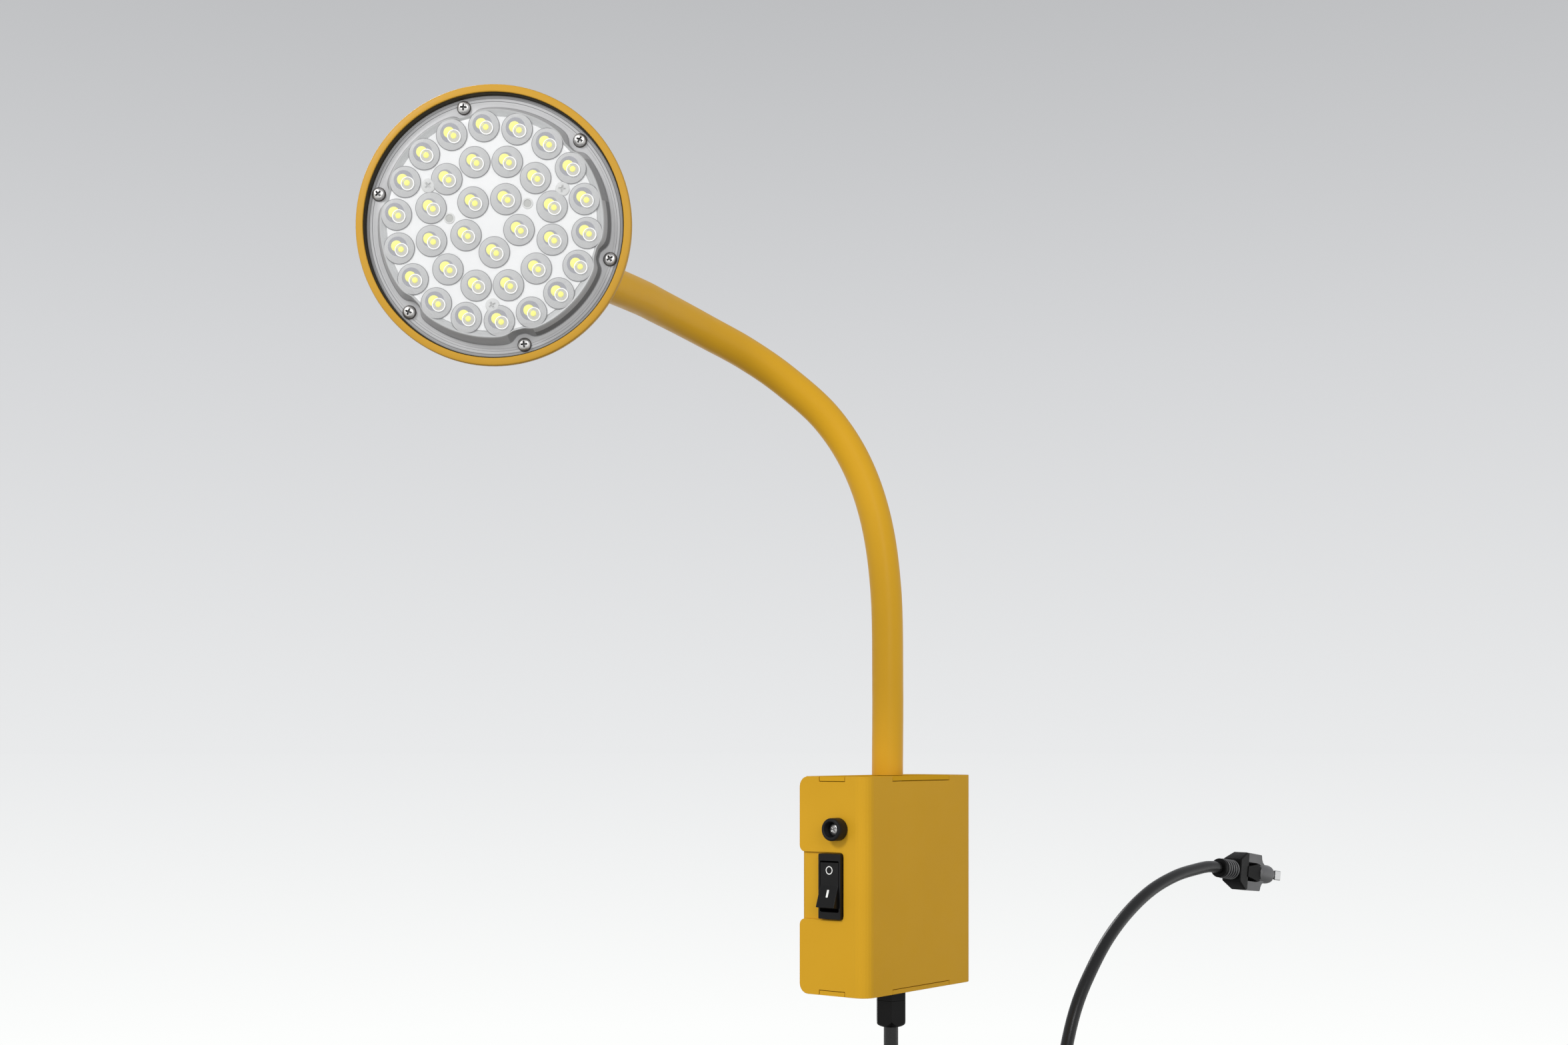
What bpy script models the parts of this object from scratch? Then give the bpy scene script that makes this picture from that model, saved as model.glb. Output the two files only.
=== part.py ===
"""Examination lamp: a switched control box, a flexible neck and a round LED head.

Units are metres, +Z is up and the open front of the box faces -Y. The origin is
the middle of the back panel's rear face, where the box is screwed to its support.
"""

import math

import bmesh
import bpy
from mathutils import Matrix, Vector

# --- driving dimensions -------------------------------------------------------
GAP = 0.0003  # clearance between touching pieces

BOX_WIDTH = 0.0960
BOX_DEPTH = 0.0405
BOX_HEIGHT = 0.1075
SHEET = 0.0012
COVER_BEND = 0.0063
PANEL_BEND = 0.0030
REAR_CORNER = 0.0050
PLATE = 0.0022
PLATE_CORNER = 0.0058
NOTCH_DEPTH = 0.0025
TAB_FRONT = 0.0504
TAB_SIDE = 0.0152
TAB_SIDE_Y = -0.01985
FLANGE_FRONT = -0.0310
BOX_SCREW_Y = -0.0120
BOX_SCREW_HEIGHTS = (-0.0300, 0.0300)
WALL_HOLES = ((-0.036, -0.040), (0.036, -0.040), (-0.036, 0.040), (0.036, 0.040))
WALL_HOLE_RADIUS = 0.0025

SWITCH_Y = -0.0198
BEZEL_WIDTH = 0.0134
BEZEL_HEIGHT = 0.0320
BEZEL_PROUD = 0.0020
ROCKER_HALF = 0.0111
ROCKER_WIDTH = 0.0108
ROCKER_TILT = math.radians(10)
ROCKER_AXIS_X = -0.0472

BUMPER_Y = -0.0241
BUMPER_Z = 0.0281
BUMPER_RADIUS = 0.0056
BUMPER_HEIGHT = 0.0070

NECK_Y = -0.0195
NECK_RADIUS = 0.00793
NECK_CORE_RADIUS = 0.0056
NECK_BORE = 0.0032
NECK_GAP = 0.0036
NECK_JOINTS = 6
COLLAR_HEIGHT = 0.0010

GLAND_Y = -0.0217
GLAND_FLATS = 0.0142
GLAND_TURN = math.radians(8)
GLAND_THREAD = 0.0060

HEAD_CENTRE = Vector((-0.3037, -0.0499, 0.2661))
HEAD_HEADING = math.radians(35.5)
HEAD_DROOP = math.radians(3.3)
BOSS_END = -0.0360
SCREW_CIRCLE = 0.0459
SCREW_PHASE = math.radians(-14)
BOARD_SCREW_CIRCLE = 0.0294
BOARD_SCREW_PHASE = math.radians(-58)
LENS_RINGS = ((18, 0.0364, -4), (12, 0.0238, 15), (5, 0.01065, -41))
LENS_RADIUS = 0.00595
COVER_SEAT = -0.0034
COVER_TOP = 0.0025
WIRE_HOLES = ((0.0174, -79), (0.0153, 56))

# Section of the head's housing as (radius, height), from the lip round the back.
HOUSING_PROFILE = (
    (0.0498, 0.0000),
    (0.0520, 0.0000),
    (0.0527, -0.0008),
    (0.0527, -0.0026),
    (0.0511, -0.0044),
    (0.0503, -0.0075),
    (0.0488, -0.0140),
    (0.0462, -0.0190),
    (0.0410, -0.0224),
    (0.0330, -0.0242),
    (0.0190, -0.0250),
    (0.0148, -0.0259),
    (0.0122, -0.0290),
    (0.0120, -0.0352),
    (0.0112, -0.0360),
    (0.0053, -0.0360),
    (0.0053, -0.0195),
    (0.0430, -0.0195),
    (0.0430, -0.0066),
    (0.0498, -0.0066),
)

CORD_DIAMETER = 0.0075
HANK_TOP = -0.0940
HANK_RUN = 18 * CORD_DIAMETER
HANK_FOLD = 0.0228
HANK_WAIST = 0.0039
HANK_PITCH = 0.0077
HANK_TURNS = 3.5
PLUG_START = Vector((0.3544, -0.0319, -0.0100))
PLUG_DIRECTION = Vector((0.9840, -0.1400, -0.1250)).normalized()

# Points of the neck's centre line, from the top plate to the head's boss.
NECK_KNOTS = (
    (0.0000, -0.0195, 0.0551),
    (0.0000, -0.0197, 0.1000),
    (0.0000, -0.0187, 0.1460),
    (-0.0035, -0.0153, 0.1820),
    (-0.0120, -0.0092, 0.2110),
    (-0.0265, -0.0007, 0.2340),
    (-0.0485, 0.0090, 0.2510),
    (-0.0720, 0.0148, 0.2614),
    (-0.0995, 0.0163, 0.2675),
    (-0.1200, 0.0147, 0.2704),
    (-0.1400, 0.0112, 0.2720),
    (-0.1600, 0.0061, 0.2726),
    (-0.2000, -0.0040, 0.2722),
    (-0.2256, -0.0101, 0.2713),
    (-0.2480, -0.0150, 0.2701),
)

# Points of the lead's slack stretch, from the hank's waist to the plug.
SLACK_KNOTS = (
    (-0.0030, -0.0483, -0.2155),
    (0.0110, -0.0478, -0.2190),
    (0.0400, -0.0460, -0.2205),
    (0.0750, -0.0420, -0.2130),
    (0.1100, -0.0360, -0.1960),
    (0.1400, -0.0290, -0.1720),
    (0.1650, -0.0215, -0.1420),
    (0.1860, -0.0170, -0.1060),
    (0.1975, -0.0172, -0.0836),
    (0.2111, -0.0189, -0.0648),
    (0.2288, -0.0206, -0.0471),
    (0.2517, -0.0222, -0.0321),
    (0.2775, -0.0245, -0.0201),
    (0.3049, -0.0270, -0.0128),
    (0.3293, -0.0291, -0.0098),
    (0.3447, -0.0306, -0.0088),
    (0.3541, -0.0319, -0.0100),
)


# --- helpers ------------------------------------------------------------------
def material(name, colour, roughness, metallic=0.0):
    made = bpy.data.materials.new(name)
    made.use_nodes = True
    shader = made.node_tree.nodes["Principled BSDF"]
    shader.inputs["Base Color"].default_value = (*colour, 1.0)
    shader.inputs["Roughness"].default_value = roughness
    shader.inputs["Metallic"].default_value = metallic
    return made


def mesh_object(name, bm, finish, place=None):
    bmesh.ops.recalc_face_normals(bm, faces=bm.faces)
    mesh = bpy.data.meshes.new(name)
    bm.to_mesh(mesh)
    bm.free()
    mesh.shade_smooth()
    mesh.set_sharp_from_angle(angle=math.radians(35))
    obj = bpy.data.objects.new(name, mesh)
    if place is not None:
        obj.matrix_world = place
    bpy.context.collection.objects.link(obj)
    if finish is not None:
        mesh.materials.append(finish)
    return obj


def bridge(bm, ring, following):
    """Join two rings of vertices, either of which may be a single pole."""
    if len(ring) == 1 and len(following) == 1:
        return
    count = max(len(ring), len(following))
    for k in range(count):
        after = (k + 1) % count
        corners = [ring[k % len(ring)], ring[after % len(ring)]]
        corners += [following[after % len(following)], following[k % len(following)]]
        unique = list(dict.fromkeys(corners))
        bm.faces.new(unique)


def turned(name, profile, finish, place=None, sides=24):
    """Turn a closed outline of (radius, height) points about the local Z axis."""
    bm = bmesh.new()
    rings = []
    for radius, height in profile:
        if radius == 0:
            rings.append([bm.verts.new((0, 0, height))])
            continue
        angles = [2 * math.pi * k / sides for k in range(sides)]
        rings.append([bm.verts.new((radius * math.cos(a), radius * math.sin(a), height)) for a in angles])
    for ring, following in zip(rings, rings[1:] + rings[:1]):
        bridge(bm, ring, following)
    return mesh_object(name, bm, finish, place)


def prism(name, outline, low, high, finish, place=None, hole=None):
    """Extrude an outline in the local XY plane, with an optional matching hole."""
    bm = bmesh.new()
    rings = []
    for points, height in ((outline, low), (outline, high)):
        rings.append([bm.verts.new((x, y, height)) for x, y in points])
    bridge(bm, rings[0], rings[1])
    if hole is None:
        bm.faces.new(rings[0])
        bm.faces.new(rings[1])
    else:
        inner = [[bm.verts.new((x, y, height)) for x, y in hole] for height in (low, high)]
        bridge(bm, inner[0], inner[1])
        bridge(bm, rings[0], inner[0])
        bridge(bm, rings[1], inner[1])
    return mesh_object(name, bm, finish, place)


def block(name, low, high, finish, place=None):
    outline = ((low[0], low[1]), (high[0], low[1]), (high[0], high[1]), (low[0], high[1]))
    return prism(name, outline, low[2], high[2], finish, place)


def arc(centre, radius, start, end, steps):
    """Points on an arc, with angles in degrees."""
    points = []
    for k in range(steps + 1):
        angle = math.radians(start + (end - start) * k / steps)
        points.append((centre[0] + radius * math.cos(angle), centre[1] + radius * math.sin(angle)))
    return points


def rounded(width, height, radius, steps=3, centre=(0, 0)):
    """A rectangle with round corners, counter-clockwise."""
    x = width / 2 - radius
    y = height / 2 - radius
    points = []
    for sign_x, sign_y, start in ((1, 1, 0), (-1, 1, 90), (-1, -1, 180), (1, -1, 270)):
        corner = (centre[0] + sign_x * x, centre[1] + sign_y * y)
        points += arc(corner, radius, start, start + 90, steps)
    return points


def hexagon(flats, turn=0.0):
    corner = flats / math.sqrt(3)
    angles = [math.pi * k / 3 + math.pi / 6 + turn for k in range(6)]
    return [(corner * math.cos(a), corner * math.sin(a)) for a in angles]


def circle(radius, sides, turn=0.0):
    angles = [2 * math.pi * k / sides + turn for k in range(sides)]
    return [(radius * math.cos(a), radius * math.sin(a)) for a in angles]


def merged(name, cutters):
    """One guide object holding several separate closed shapes."""
    bm = bmesh.new()
    for cutter in cutters:
        part = cutter.data.copy()
        part.transform(cutter.matrix_world)
        bm.from_mesh(part)
        bpy.data.objects.remove(cutter, do_unlink=True)
    guide = mesh_object(name, bm, None)
    guide.hide_render = True
    guide.display_type = "WIRE"
    return guide


def shape_by(target, shapes, operation):
    """Cut shapes from a target, or join them to it."""
    modifier = target.modifiers.new(operation.title(), "BOOLEAN")
    modifier.operation = operation
    modifier.solver = "EXACT"
    modifier.object = merged(target.name + "_" + operation.lower(), shapes)
    return target


def spread(count, phase):
    """Clock angles from the head's top, in radians, for evenly spaced features."""
    return [phase + 2 * math.pi * k / count for k in range(count)]


def clock(radius, angle):
    return Vector((radius * math.sin(angle), radius * math.cos(angle), 0))


def smooth_points(knots, steps=12):
    """Points of a Catmull-Rom curve that passes through every knot."""
    knots = [Vector(k) for k in knots]
    ends = [2 * knots[0] - knots[1]] + knots + [2 * knots[-1] - knots[-2]]
    points = []
    for a, b, c, d in zip(ends, ends[1:], ends[2:], ends[3:]):
        for k in range(steps):
            t = k / steps
            squared = (2 * a - 5 * b + 4 * c - d) * t * t
            cubed = (3 * b - a - 3 * c + d) * t**3
            points.append(0.5 * (2 * b + (c - a) * t + squared + cubed))
    points.append(knots[-1])
    return points


def arc_lengths(points):
    lengths = [0.0]
    for before, after in zip(points, points[1:]):
        lengths.append(lengths[-1] + (after - before).length)
    return lengths


def point_at(points, lengths, distance):
    """The point and the direction at a distance along a polyline."""
    distance = min(max(distance, 0.0), lengths[-1])
    for k in range(len(points) - 1):
        if lengths[k + 1] >= distance:
            share = (distance - lengths[k]) / (lengths[k + 1] - lengths[k])
            ahead = (points[k + 1] - points[k]).normalized()
            return points[k].lerp(points[k + 1], share), ahead
    return points[-1], (points[-1] - points[-2]).normalized()


def resampled(points, spacing):
    lengths = arc_lengths(points)
    count = max(2, round(lengths[-1] / spacing))
    return [point_at(points, lengths, lengths[-1] * k / count)[0] for k in range(count + 1)]


def cord_tube(name, points, finish):
    curve = bpy.data.curves.new(name, "CURVE")
    curve.dimensions = "3D"
    curve.bevel_depth = CORD_DIAMETER / 2
    curve.bevel_resolution = 2
    curve.use_fill_caps = True
    spline = curve.splines.new("POLY")
    spline.points.add(len(points) - 1)
    for target, point in zip(spline.points, points):
        target.co = (*point, 1.0)
    curve.materials.append(finish)
    obj = bpy.data.objects.new(name, curve)
    bpy.context.collection.objects.link(obj)
    return obj


def axis_frame(origin, direction, up=Vector((0, 0, 1))):
    """A placement whose local Z runs along a direction and whose local Y is nearly up."""
    z = Vector(direction).normalized()
    x = up.cross(z).normalized()
    y = z.cross(x)
    place = Matrix((x, y, z)).transposed().to_4x4()
    place.translation = origin
    return place


def pan_screw(name, place, head_radius, head_height, shank_radius, shank_length, finish, sides=10):
    """Head on the local +Z side of the seat at z = 0, shank below it."""
    profile = (
        (0, head_height),
        (head_radius * 0.55, head_height * 0.94),
        (head_radius * 0.90, head_height * 0.62),
        (head_radius, head_height * 0.25),
        (head_radius, 0),
        (shank_radius, 0),
        (shank_radius, -shank_length + shank_radius),
        (0, -shank_length),
    )
    return turned(name, profile, finish, place, sides)


# --- control box --------------------------------------------------------------
def cover_plan(inset, bend, back):
    """Plan outline of a sheet bent round the left side, the front and the right side."""
    half = BOX_WIDTH / 2 - inset
    front = -BOX_DEPTH + inset
    left = (-half + bend, front + bend)
    right = (half - bend, front + bend)
    outer = [(-half, back)] + arc(left, bend, 180, 270, 6) + arc(right, bend, 270, 360, 6) + [(half, back)]
    inner_bend = bend - SHEET
    inner = [(half - SHEET, back)] + arc(right, inner_bend, 360, 270, 6)
    inner += arc(left, inner_bend, 270, 180, 6) + [(-half + SHEET, back)]
    return outer + inner


def across_box():
    """Turns an outline in (y, z) into a length along the box's width."""
    return Matrix.Rotation(math.radians(90), 4, "Z") @ Matrix.Rotation(math.radians(90), 4, "X")


def rear_corners():
    """What the round corners take off the rear edge, at the top and the bottom."""
    top = BOX_HEIGHT / 2
    cutters = []
    for sign in (-1, 1):
        corner = (-REAR_CORNER, sign * (top - REAR_CORNER))
        outline = arc(corner, REAR_CORNER, 0, sign * 90, 5)
        outline += [(-REAR_CORNER, sign * (top + 0.001)), (0.001, sign * (top + 0.001))]
        outline += [(0.001, corner[1])]
        cutters.append(prism("cut", outline, -BOX_WIDTH, BOX_WIDTH, None, across_box()))
    return cutters


def make_box_cover(yellow):
    top = BOX_HEIGHT / 2
    cover = prism("box_cover", cover_plan(0, COVER_BEND, 0.0), -top, top, yellow)
    cutters = []
    for sign in (-1, 1):
        low, high = sorted((sign * (top - NOTCH_DEPTH), sign * (top + 0.002)))
        front_low = (-TAB_FRONT / 2 - GAP, -BOX_DEPTH - 0.002, low)
        cutters.append(block("cut", front_low, (TAB_FRONT / 2 + GAP, -BOX_DEPTH + 0.003, high), None))
        for side in (-1, 1):
            x_low, x_high = sorted((side * (BOX_WIDTH / 2 - 0.003), side * (BOX_WIDTH / 2 + 0.002)))
            y_low = TAB_SIDE_Y - TAB_SIDE / 2 - GAP
            y_high = TAB_SIDE_Y + TAB_SIDE / 2 + GAP
            cutters.append(block("cut", (x_low, y_low, low), (x_high, y_high, high), None))
    # free rear corners rounded, and the notch that lets the switch pass
    cutters += rear_corners()
    across = across_box()
    front = SWITCH_Y - BEZEL_WIDTH / 2 - 0.0004
    half = BEZEL_HEIGHT / 2 + 0.0006
    mouth, bend = 0.0030, 0.0020
    notch = [(0.001, -half - mouth)] + arc((-mouth, -half - mouth), mouth, 0, 90, 4)
    notch += arc((front + bend, -half + bend), bend, 270, 180, 4)
    notch += arc((front + bend, half - bend), bend, 180, 90, 4)
    notch += arc((-mouth, half + mouth), mouth, 270, 360, 4) + [(0.001, half + mouth)]
    cutters.append(prism("cut", notch, -BOX_WIDTH / 2 - 0.002, -BOX_WIDTH / 2 + 0.003, None, across))
    along_x = axis_frame((0, 0, 0), (1, 0, 0))
    bumper_hole = Matrix.Translation((-BOX_WIDTH / 2, BUMPER_Y, BUMPER_Z)) @ along_x
    cutters.append(prism("cut", circle(0.0018, 12), -0.003, 0.003, None, bumper_hole))
    for z in BOX_SCREW_HEIGHTS:
        hole = Matrix.Translation((BOX_WIDTH / 2, BOX_SCREW_Y, z)) @ along_x
        cutters.append(prism("cut", circle(0.0018, 12), -0.003, 0.003, None, hole))
    return shape_by(cover, cutters, "DIFFERENCE")


def make_back_panel(yellow):
    """Back plate with a flange down each side, behind the cover's side walls."""
    half = BOX_WIDTH / 2 - SHEET - GAP
    left = (-half + PANEL_BEND, -PANEL_BEND)
    right = (half - PANEL_BEND, -PANEL_BEND)
    inner = PANEL_BEND - SHEET
    plan = [(-half, FLANGE_FRONT), (-half + SHEET, FLANGE_FRONT)] + arc(left, inner, 180, 90, 4)
    plan += arc(right, inner, 90, 0, 4) + [(half - SHEET, FLANGE_FRONT), (half, FLANGE_FRONT)]
    plan += arc(right, PANEL_BEND, 0, 90, 4) + arc(left, PANEL_BEND, 90, 180, 4)
    top = BOX_HEIGHT / 2 - NOTCH_DEPTH
    panel = prism("back_panel", plan, -top, top, yellow)
    along_x = axis_frame((0, 0, 0), (1, 0, 0))
    along_y = axis_frame((0, 0, 0), (0, 1, 0))
    cutters = [
        block(
            "cut",
            (-half - 0.001, SWITCH_Y - 0.00645, -0.01395),
            (-half + 0.003, SWITCH_Y + 0.00645, 0.01395),
            None,
        )
    ]
    cutters += rear_corners()
    bumper_hole = Matrix.Translation((-half, BUMPER_Y, BUMPER_Z)) @ along_x
    cutters.append(prism("cut", circle(0.0018, 12), -0.003, 0.003, None, bumper_hole))
    for z in BOX_SCREW_HEIGHTS:
        hole = Matrix.Translation((half, BOX_SCREW_Y, z)) @ along_x
        cutters.append(prism("cut", circle(0.0017, 12), -0.003, 0.003, None, hole))
    for x, z in WALL_HOLES:
        hole = Matrix.Translation((x, 0, z)) @ along_y
        cutters.append(prism("cut", circle(WALL_HOLE_RADIUS, 24), -0.003, 0.003, None, hole))
    return shape_by(panel, cutters, "DIFFERENCE")


def plate_plan():
    """Outline of an end plate, with a tab to the front and one to each side."""
    half = BOX_WIDTH / 2 - SHEET - GAP
    front = -BOX_DEPTH + SHEET + GAP
    bend = COVER_BEND - SHEET - GAP
    tab = BOX_WIDTH / 2 - 0.0001
    low = TAB_SIDE_Y - TAB_SIDE / 2
    high = TAB_SIDE_Y + TAB_SIDE / 2
    corner = PLATE_CORNER
    plan = arc((-half + corner, -corner), corner, 90, 180, 4)
    plan += [(-half, high), (-tab, high), (-tab, low), (-half, low)]
    plan += arc((-half + bend, front + bend), bend, 180, 270, 5)
    plan += [(-TAB_FRONT / 2, front), (-TAB_FRONT / 2, -BOX_DEPTH + 0.0001)]
    plan += [(TAB_FRONT / 2, -BOX_DEPTH + 0.0001), (TAB_FRONT / 2, front)]
    plan += arc((half - bend, front + bend), bend, 270, 360, 5)
    plan += [(half, low), (tab, low), (tab, high), (half, high)]
    return plan + arc((half - corner, -corner), corner, 0, 90, 4)


def make_end_plates(yellow):
    top = BOX_HEIGHT / 2
    plates = []
    for name, low, hole_y, hole_radius in (
        ("top_plate", top - PLATE, NECK_Y, 0.0054),
        ("bottom_plate", -top, GLAND_Y, 0.0064),
    ):
        plate = prism(name, plate_plan(), low, low + PLATE, yellow)
        place = Matrix.Translation((0, hole_y, low))
        hole = prism("cut", circle(hole_radius, 20), -0.002, PLATE + 0.002, None, place)
        plates.append(shape_by(plate, [hole], "DIFFERENCE"))
    return plates


def make_box_screws(steel):
    for number, z in enumerate(BOX_SCREW_HEIGHTS, 1):
        place = axis_frame((BOX_WIDTH / 2 + GAP, BOX_SCREW_Y, z), (1, 0, 0))
        pan_screw(f"box_screw_{number}", place, 0.0028, 0.0020, 0.0014, 0.0055, steel)


def make_driver(black, white):
    body = rounded(0.0600, 0.0300, 0.0025, 3)
    along_y = axis_frame((0.0080, -0.0015, -0.0010), (0, -1, 0))
    prism("led_driver", body, 0.0, 0.0230, black, along_y)
    block("terminal_block", (-0.0300, -0.0140, -0.0400), (-0.0080, -0.0015, -0.0310), white)


def make_switch(black):
    """Housing with an open pocket, and the rocker inside it with its top end pressed in."""
    outward = axis_frame((0, SWITCH_Y, 0), (-1, 0, 0))
    inner_face = BOX_WIDTH / 2 - SHEET
    face = BOX_WIDTH / 2 + BEZEL_PROUD
    bezel = rounded(BEZEL_WIDTH, BEZEL_HEIGHT, 0.0005, 2)
    housing = prism("switch_housing", bezel, inner_face, face, black, outward)
    body = prism("join", rounded(0.0124, 0.0274, 0.0008, 1), 0.0340, inner_face + 0.0004, None, outward)
    shape_by(housing, [body], "UNION")
    pocket = prism("cut", rounded(0.0114, 0.0250, 0.0004, 1), 0.0400, face + 0.002, None, outward)
    shape_by(housing, [pocket], "DIFFERENCE")

    # profile in the plane across the pivot: x is outward, y is up
    end_face = 0.00485
    middle = end_face - ROCKER_HALF * math.tan(ROCKER_TILT)
    profile = [(end_face, -ROCKER_HALF), (middle, 0), (end_face, ROCKER_HALF), (0.0008, ROCKER_HALF)]
    profile += [(-0.0015, 0.0090), (-0.0045, 0.0035), (-0.0045, -0.0035), (-0.0015, -0.0090)]
    profile += [(0.0008, -ROCKER_HALF)]
    outline = [(-x, y) for x, y in profile]
    upright = Matrix.Rotation(math.radians(90), 4, "X")
    pivot = Matrix.Translation((ROCKER_AXIS_X, SWITCH_Y, 0))
    tilt = Matrix.Rotation(ROCKER_TILT, 4, "Y")
    prism("switch_rocker", outline, -ROCKER_WIDTH / 2, ROCKER_WIDTH / 2, black, pivot @ tilt @ upright)


def make_bumper(rubber, steel):
    base = Vector((-BOX_WIDTH / 2 - GAP, BUMPER_Y, BUMPER_Z))
    outward = axis_frame(base, (-1, 0, 0))
    top = BUMPER_HEIGHT - GAP
    profile = (
        (0.0018, 0.0),
        (BUMPER_RADIUS, 0.0),
        (BUMPER_RADIUS, top - 0.0005),
        (BUMPER_RADIUS - 0.0005, top),
        (0.0037, top),
        (0.0037, 0.0018),
        (0.0018, 0.0018),
    )
    turned("bumper", profile, rubber, outward, 20)
    seat = axis_frame(base + Vector((-0.0018 - GAP, 0, 0)), (-1, 0, 0))
    pan_screw("bumper_screw", seat, 0.0028, 0.0018, 0.0014, 0.0085, steel)


def make_gland(black, rubber):
    """Cable gland under the bottom plate, listed from the inside nut to the dome nut."""
    plate = -BOX_HEIGHT / 2
    place = Matrix.Translation((0, GLAND_Y, plate))
    thread = GLAND_THREAD + GAP
    seat = PLATE + GAP
    nut_profile = ((thread, seat), (0.0080, seat), (0.0080, seat + 0.0030), (thread, seat + 0.0030))
    nut = turned("gland_lock_nut", nut_profile, black, place, 24)
    shape_by(nut, [prism("keep", hexagon(0.0145, GLAND_TURN), 0.001, 0.007, None, place)], "INTERSECT")
    turned(
        "gland_washer",
        ((GLAND_THREAD + GAP, -GAP), (0.0074, -GAP), (0.0074, -0.0012), (GLAND_THREAD + GAP, -0.0012)),
        rubber,
        place,
        24,
    )
    bore = CORD_DIAMETER / 2 + GAP
    body_profile = (
        (bore, 0.0090),
        (GLAND_THREAD, 0.0090),
        (GLAND_THREAD, -0.0015),
        (0.0084, -0.0015),
        (0.0084, -0.0062),
        (0.0049, -0.0062),
        (0.0049, -0.0120),
        (bore, -0.0120),
    )
    body = turned("gland_body", body_profile, black, place, 24)
    flats = prism("keep", hexagon(GLAND_FLATS, GLAND_TURN), -0.014, 0.012, None, place)
    shape_by(body, [flats], "INTERSECT")
    dome_profile = [(0.0052, -0.0065), (0.0078, -0.0065), (0.0084, -0.0071), (0.0084, -0.0140)]
    for step in range(1, 5):
        angle = math.radians(22.5 * step)
        dome_profile.append((0.0047 + 0.0037 * math.cos(angle), -0.0156 - 0.0044 * math.sin(angle)))
    dome_profile += [(bore, -0.0200), (bore, -0.0126), (0.0052, -0.0126)]
    dome = turned("gland_dome_nut", dome_profile, black, place, 24)
    flats = prism("keep", hexagon(GLAND_FLATS, GLAND_TURN), -0.022, 0.0, None, place)
    shape_by(dome, [flats], "INTERSECT")


# --- flexible neck ------------------------------------------------------------
def facing():
    """Unit vector out of the head's face."""
    level = math.cos(HEAD_DROOP)
    return Vector((-math.cos(HEAD_HEADING) * level, -math.sin(HEAD_HEADING) * level, -math.sin(HEAD_DROOP)))


def neck_line():
    """Centre line of the neck: the knots, then straight into the head's boss."""
    end = HEAD_CENTRE + facing() * (BOSS_END - 2 * GAP)
    approach = end - facing() * 0.0120
    return smooth_points([*NECK_KNOTS, tuple(approach), tuple(end)])


def ring_section(bm, centre, direction, radius, sides):
    side = (Vector((0, 1, 0)) - direction * direction.y).normalized()
    other = direction.cross(side)
    verts = []
    for k in range(sides):
        angle = 2 * math.pi * k / sides
        spoke = side * math.cos(angle) + other * math.sin(angle)
        verts.append(bm.verts.new(centre + spoke * radius))
    return verts


def neck_tube(name, stations, outer, inner, finish, sides):
    """A hollow length of the neck through (centre, direction) stations."""
    bm = bmesh.new()
    outside = [ring_section(bm, centre, direction, outer, sides) for centre, direction in stations]
    inside = [ring_section(bm, centre, direction, inner, sides) for centre, direction in stations]
    loop = outside + inside[::-1]
    for ring, following in zip(loop, loop[1:] + loop[:1]):
        bridge(bm, ring, following)
    return mesh_object(name, bm, finish)


def make_neck(yellow, steel):
    points = neck_line()
    lengths = arc_lengths(points)
    pitch = lengths[-1] / (NECK_JOINTS + 0.6)
    breaks = [pitch * (0.55 + k) for k in range(NECK_JOINTS)]
    starts = [GAP] + [at + NECK_GAP / 2 for at in breaks]
    ends = [at - NECK_GAP / 2 for at in breaks] + [lengths[-1]]
    for number, (start, end) in enumerate(zip(starts, ends)):
        steps = max(2, round((end - start) / 0.017))
        spots = [start + (end - start) * k / steps for k in range(steps + 1)]
        stations = [point_at(points, lengths, spot) for spot in spots]
        neck_tube(f"neck_sleeve_{number}", stations, NECK_RADIUS, NECK_CORE_RADIUS + GAP, yellow, 16)
        neck_tube(f"neck_core_{number}", stations, NECK_CORE_RADIUS, NECK_BORE, steel, 10)


def make_neck_base(brass, steel):
    top = BOX_HEIGHT / 2
    place = Matrix.Translation((0, NECK_Y, 0))
    profile = (
        (NECK_BORE, 0.0440),
        (0.0050, 0.0440),
        (0.0050, top + GAP),
        (NECK_RADIUS, top + GAP),
        (NECK_RADIUS, top + GAP + COLLAR_HEIGHT),
        (NECK_BORE, top + GAP + COLLAR_HEIGHT),
    )
    turned("neck_base_fitting", profile, steel, place, 24)
    under = top - PLATE - GAP
    nut_profile = ((0.0053, under), (0.0082, under), (0.0082, under - 0.0032), (0.0053, under - 0.0032))
    nut = turned("neck_base_nut", nut_profile, brass, place, 24)
    flats = prism("keep", hexagon(0.0140), under - 0.005, under + 0.001, None, place)
    shape_by(nut, [flats], "INTERSECT")


# --- head ---------------------------------------------------------------------
def head_frame():
    """Local Z out of the face, local Y up, local X to the right of someone facing it."""
    return axis_frame(HEAD_CENTRE, facing())


def holes_on_circle(radius, low, high, circle_radius, angles):
    place = head_frame()
    cutters = []
    for angle in angles:
        at = place @ Matrix.Translation(clock(circle_radius, angle))
        cutters.append(prism("cut", circle(radius, 8), low, high, None, at))
    return cutters


def make_housing(yellow):
    housing = turned("head_housing", HOUSING_PROFILE, yellow, head_frame(), 48)
    cutters = holes_on_circle(0.0015, -0.0140, -0.0050, SCREW_CIRCLE, spread(6, SCREW_PHASE))
    cutters += holes_on_circle(0.0015, -0.0226, -0.0180, BOARD_SCREW_CIRCLE, spread(3, BOARD_SCREW_PHASE))
    shape_by(housing, cutters, "DIFFERENCE")


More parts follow.
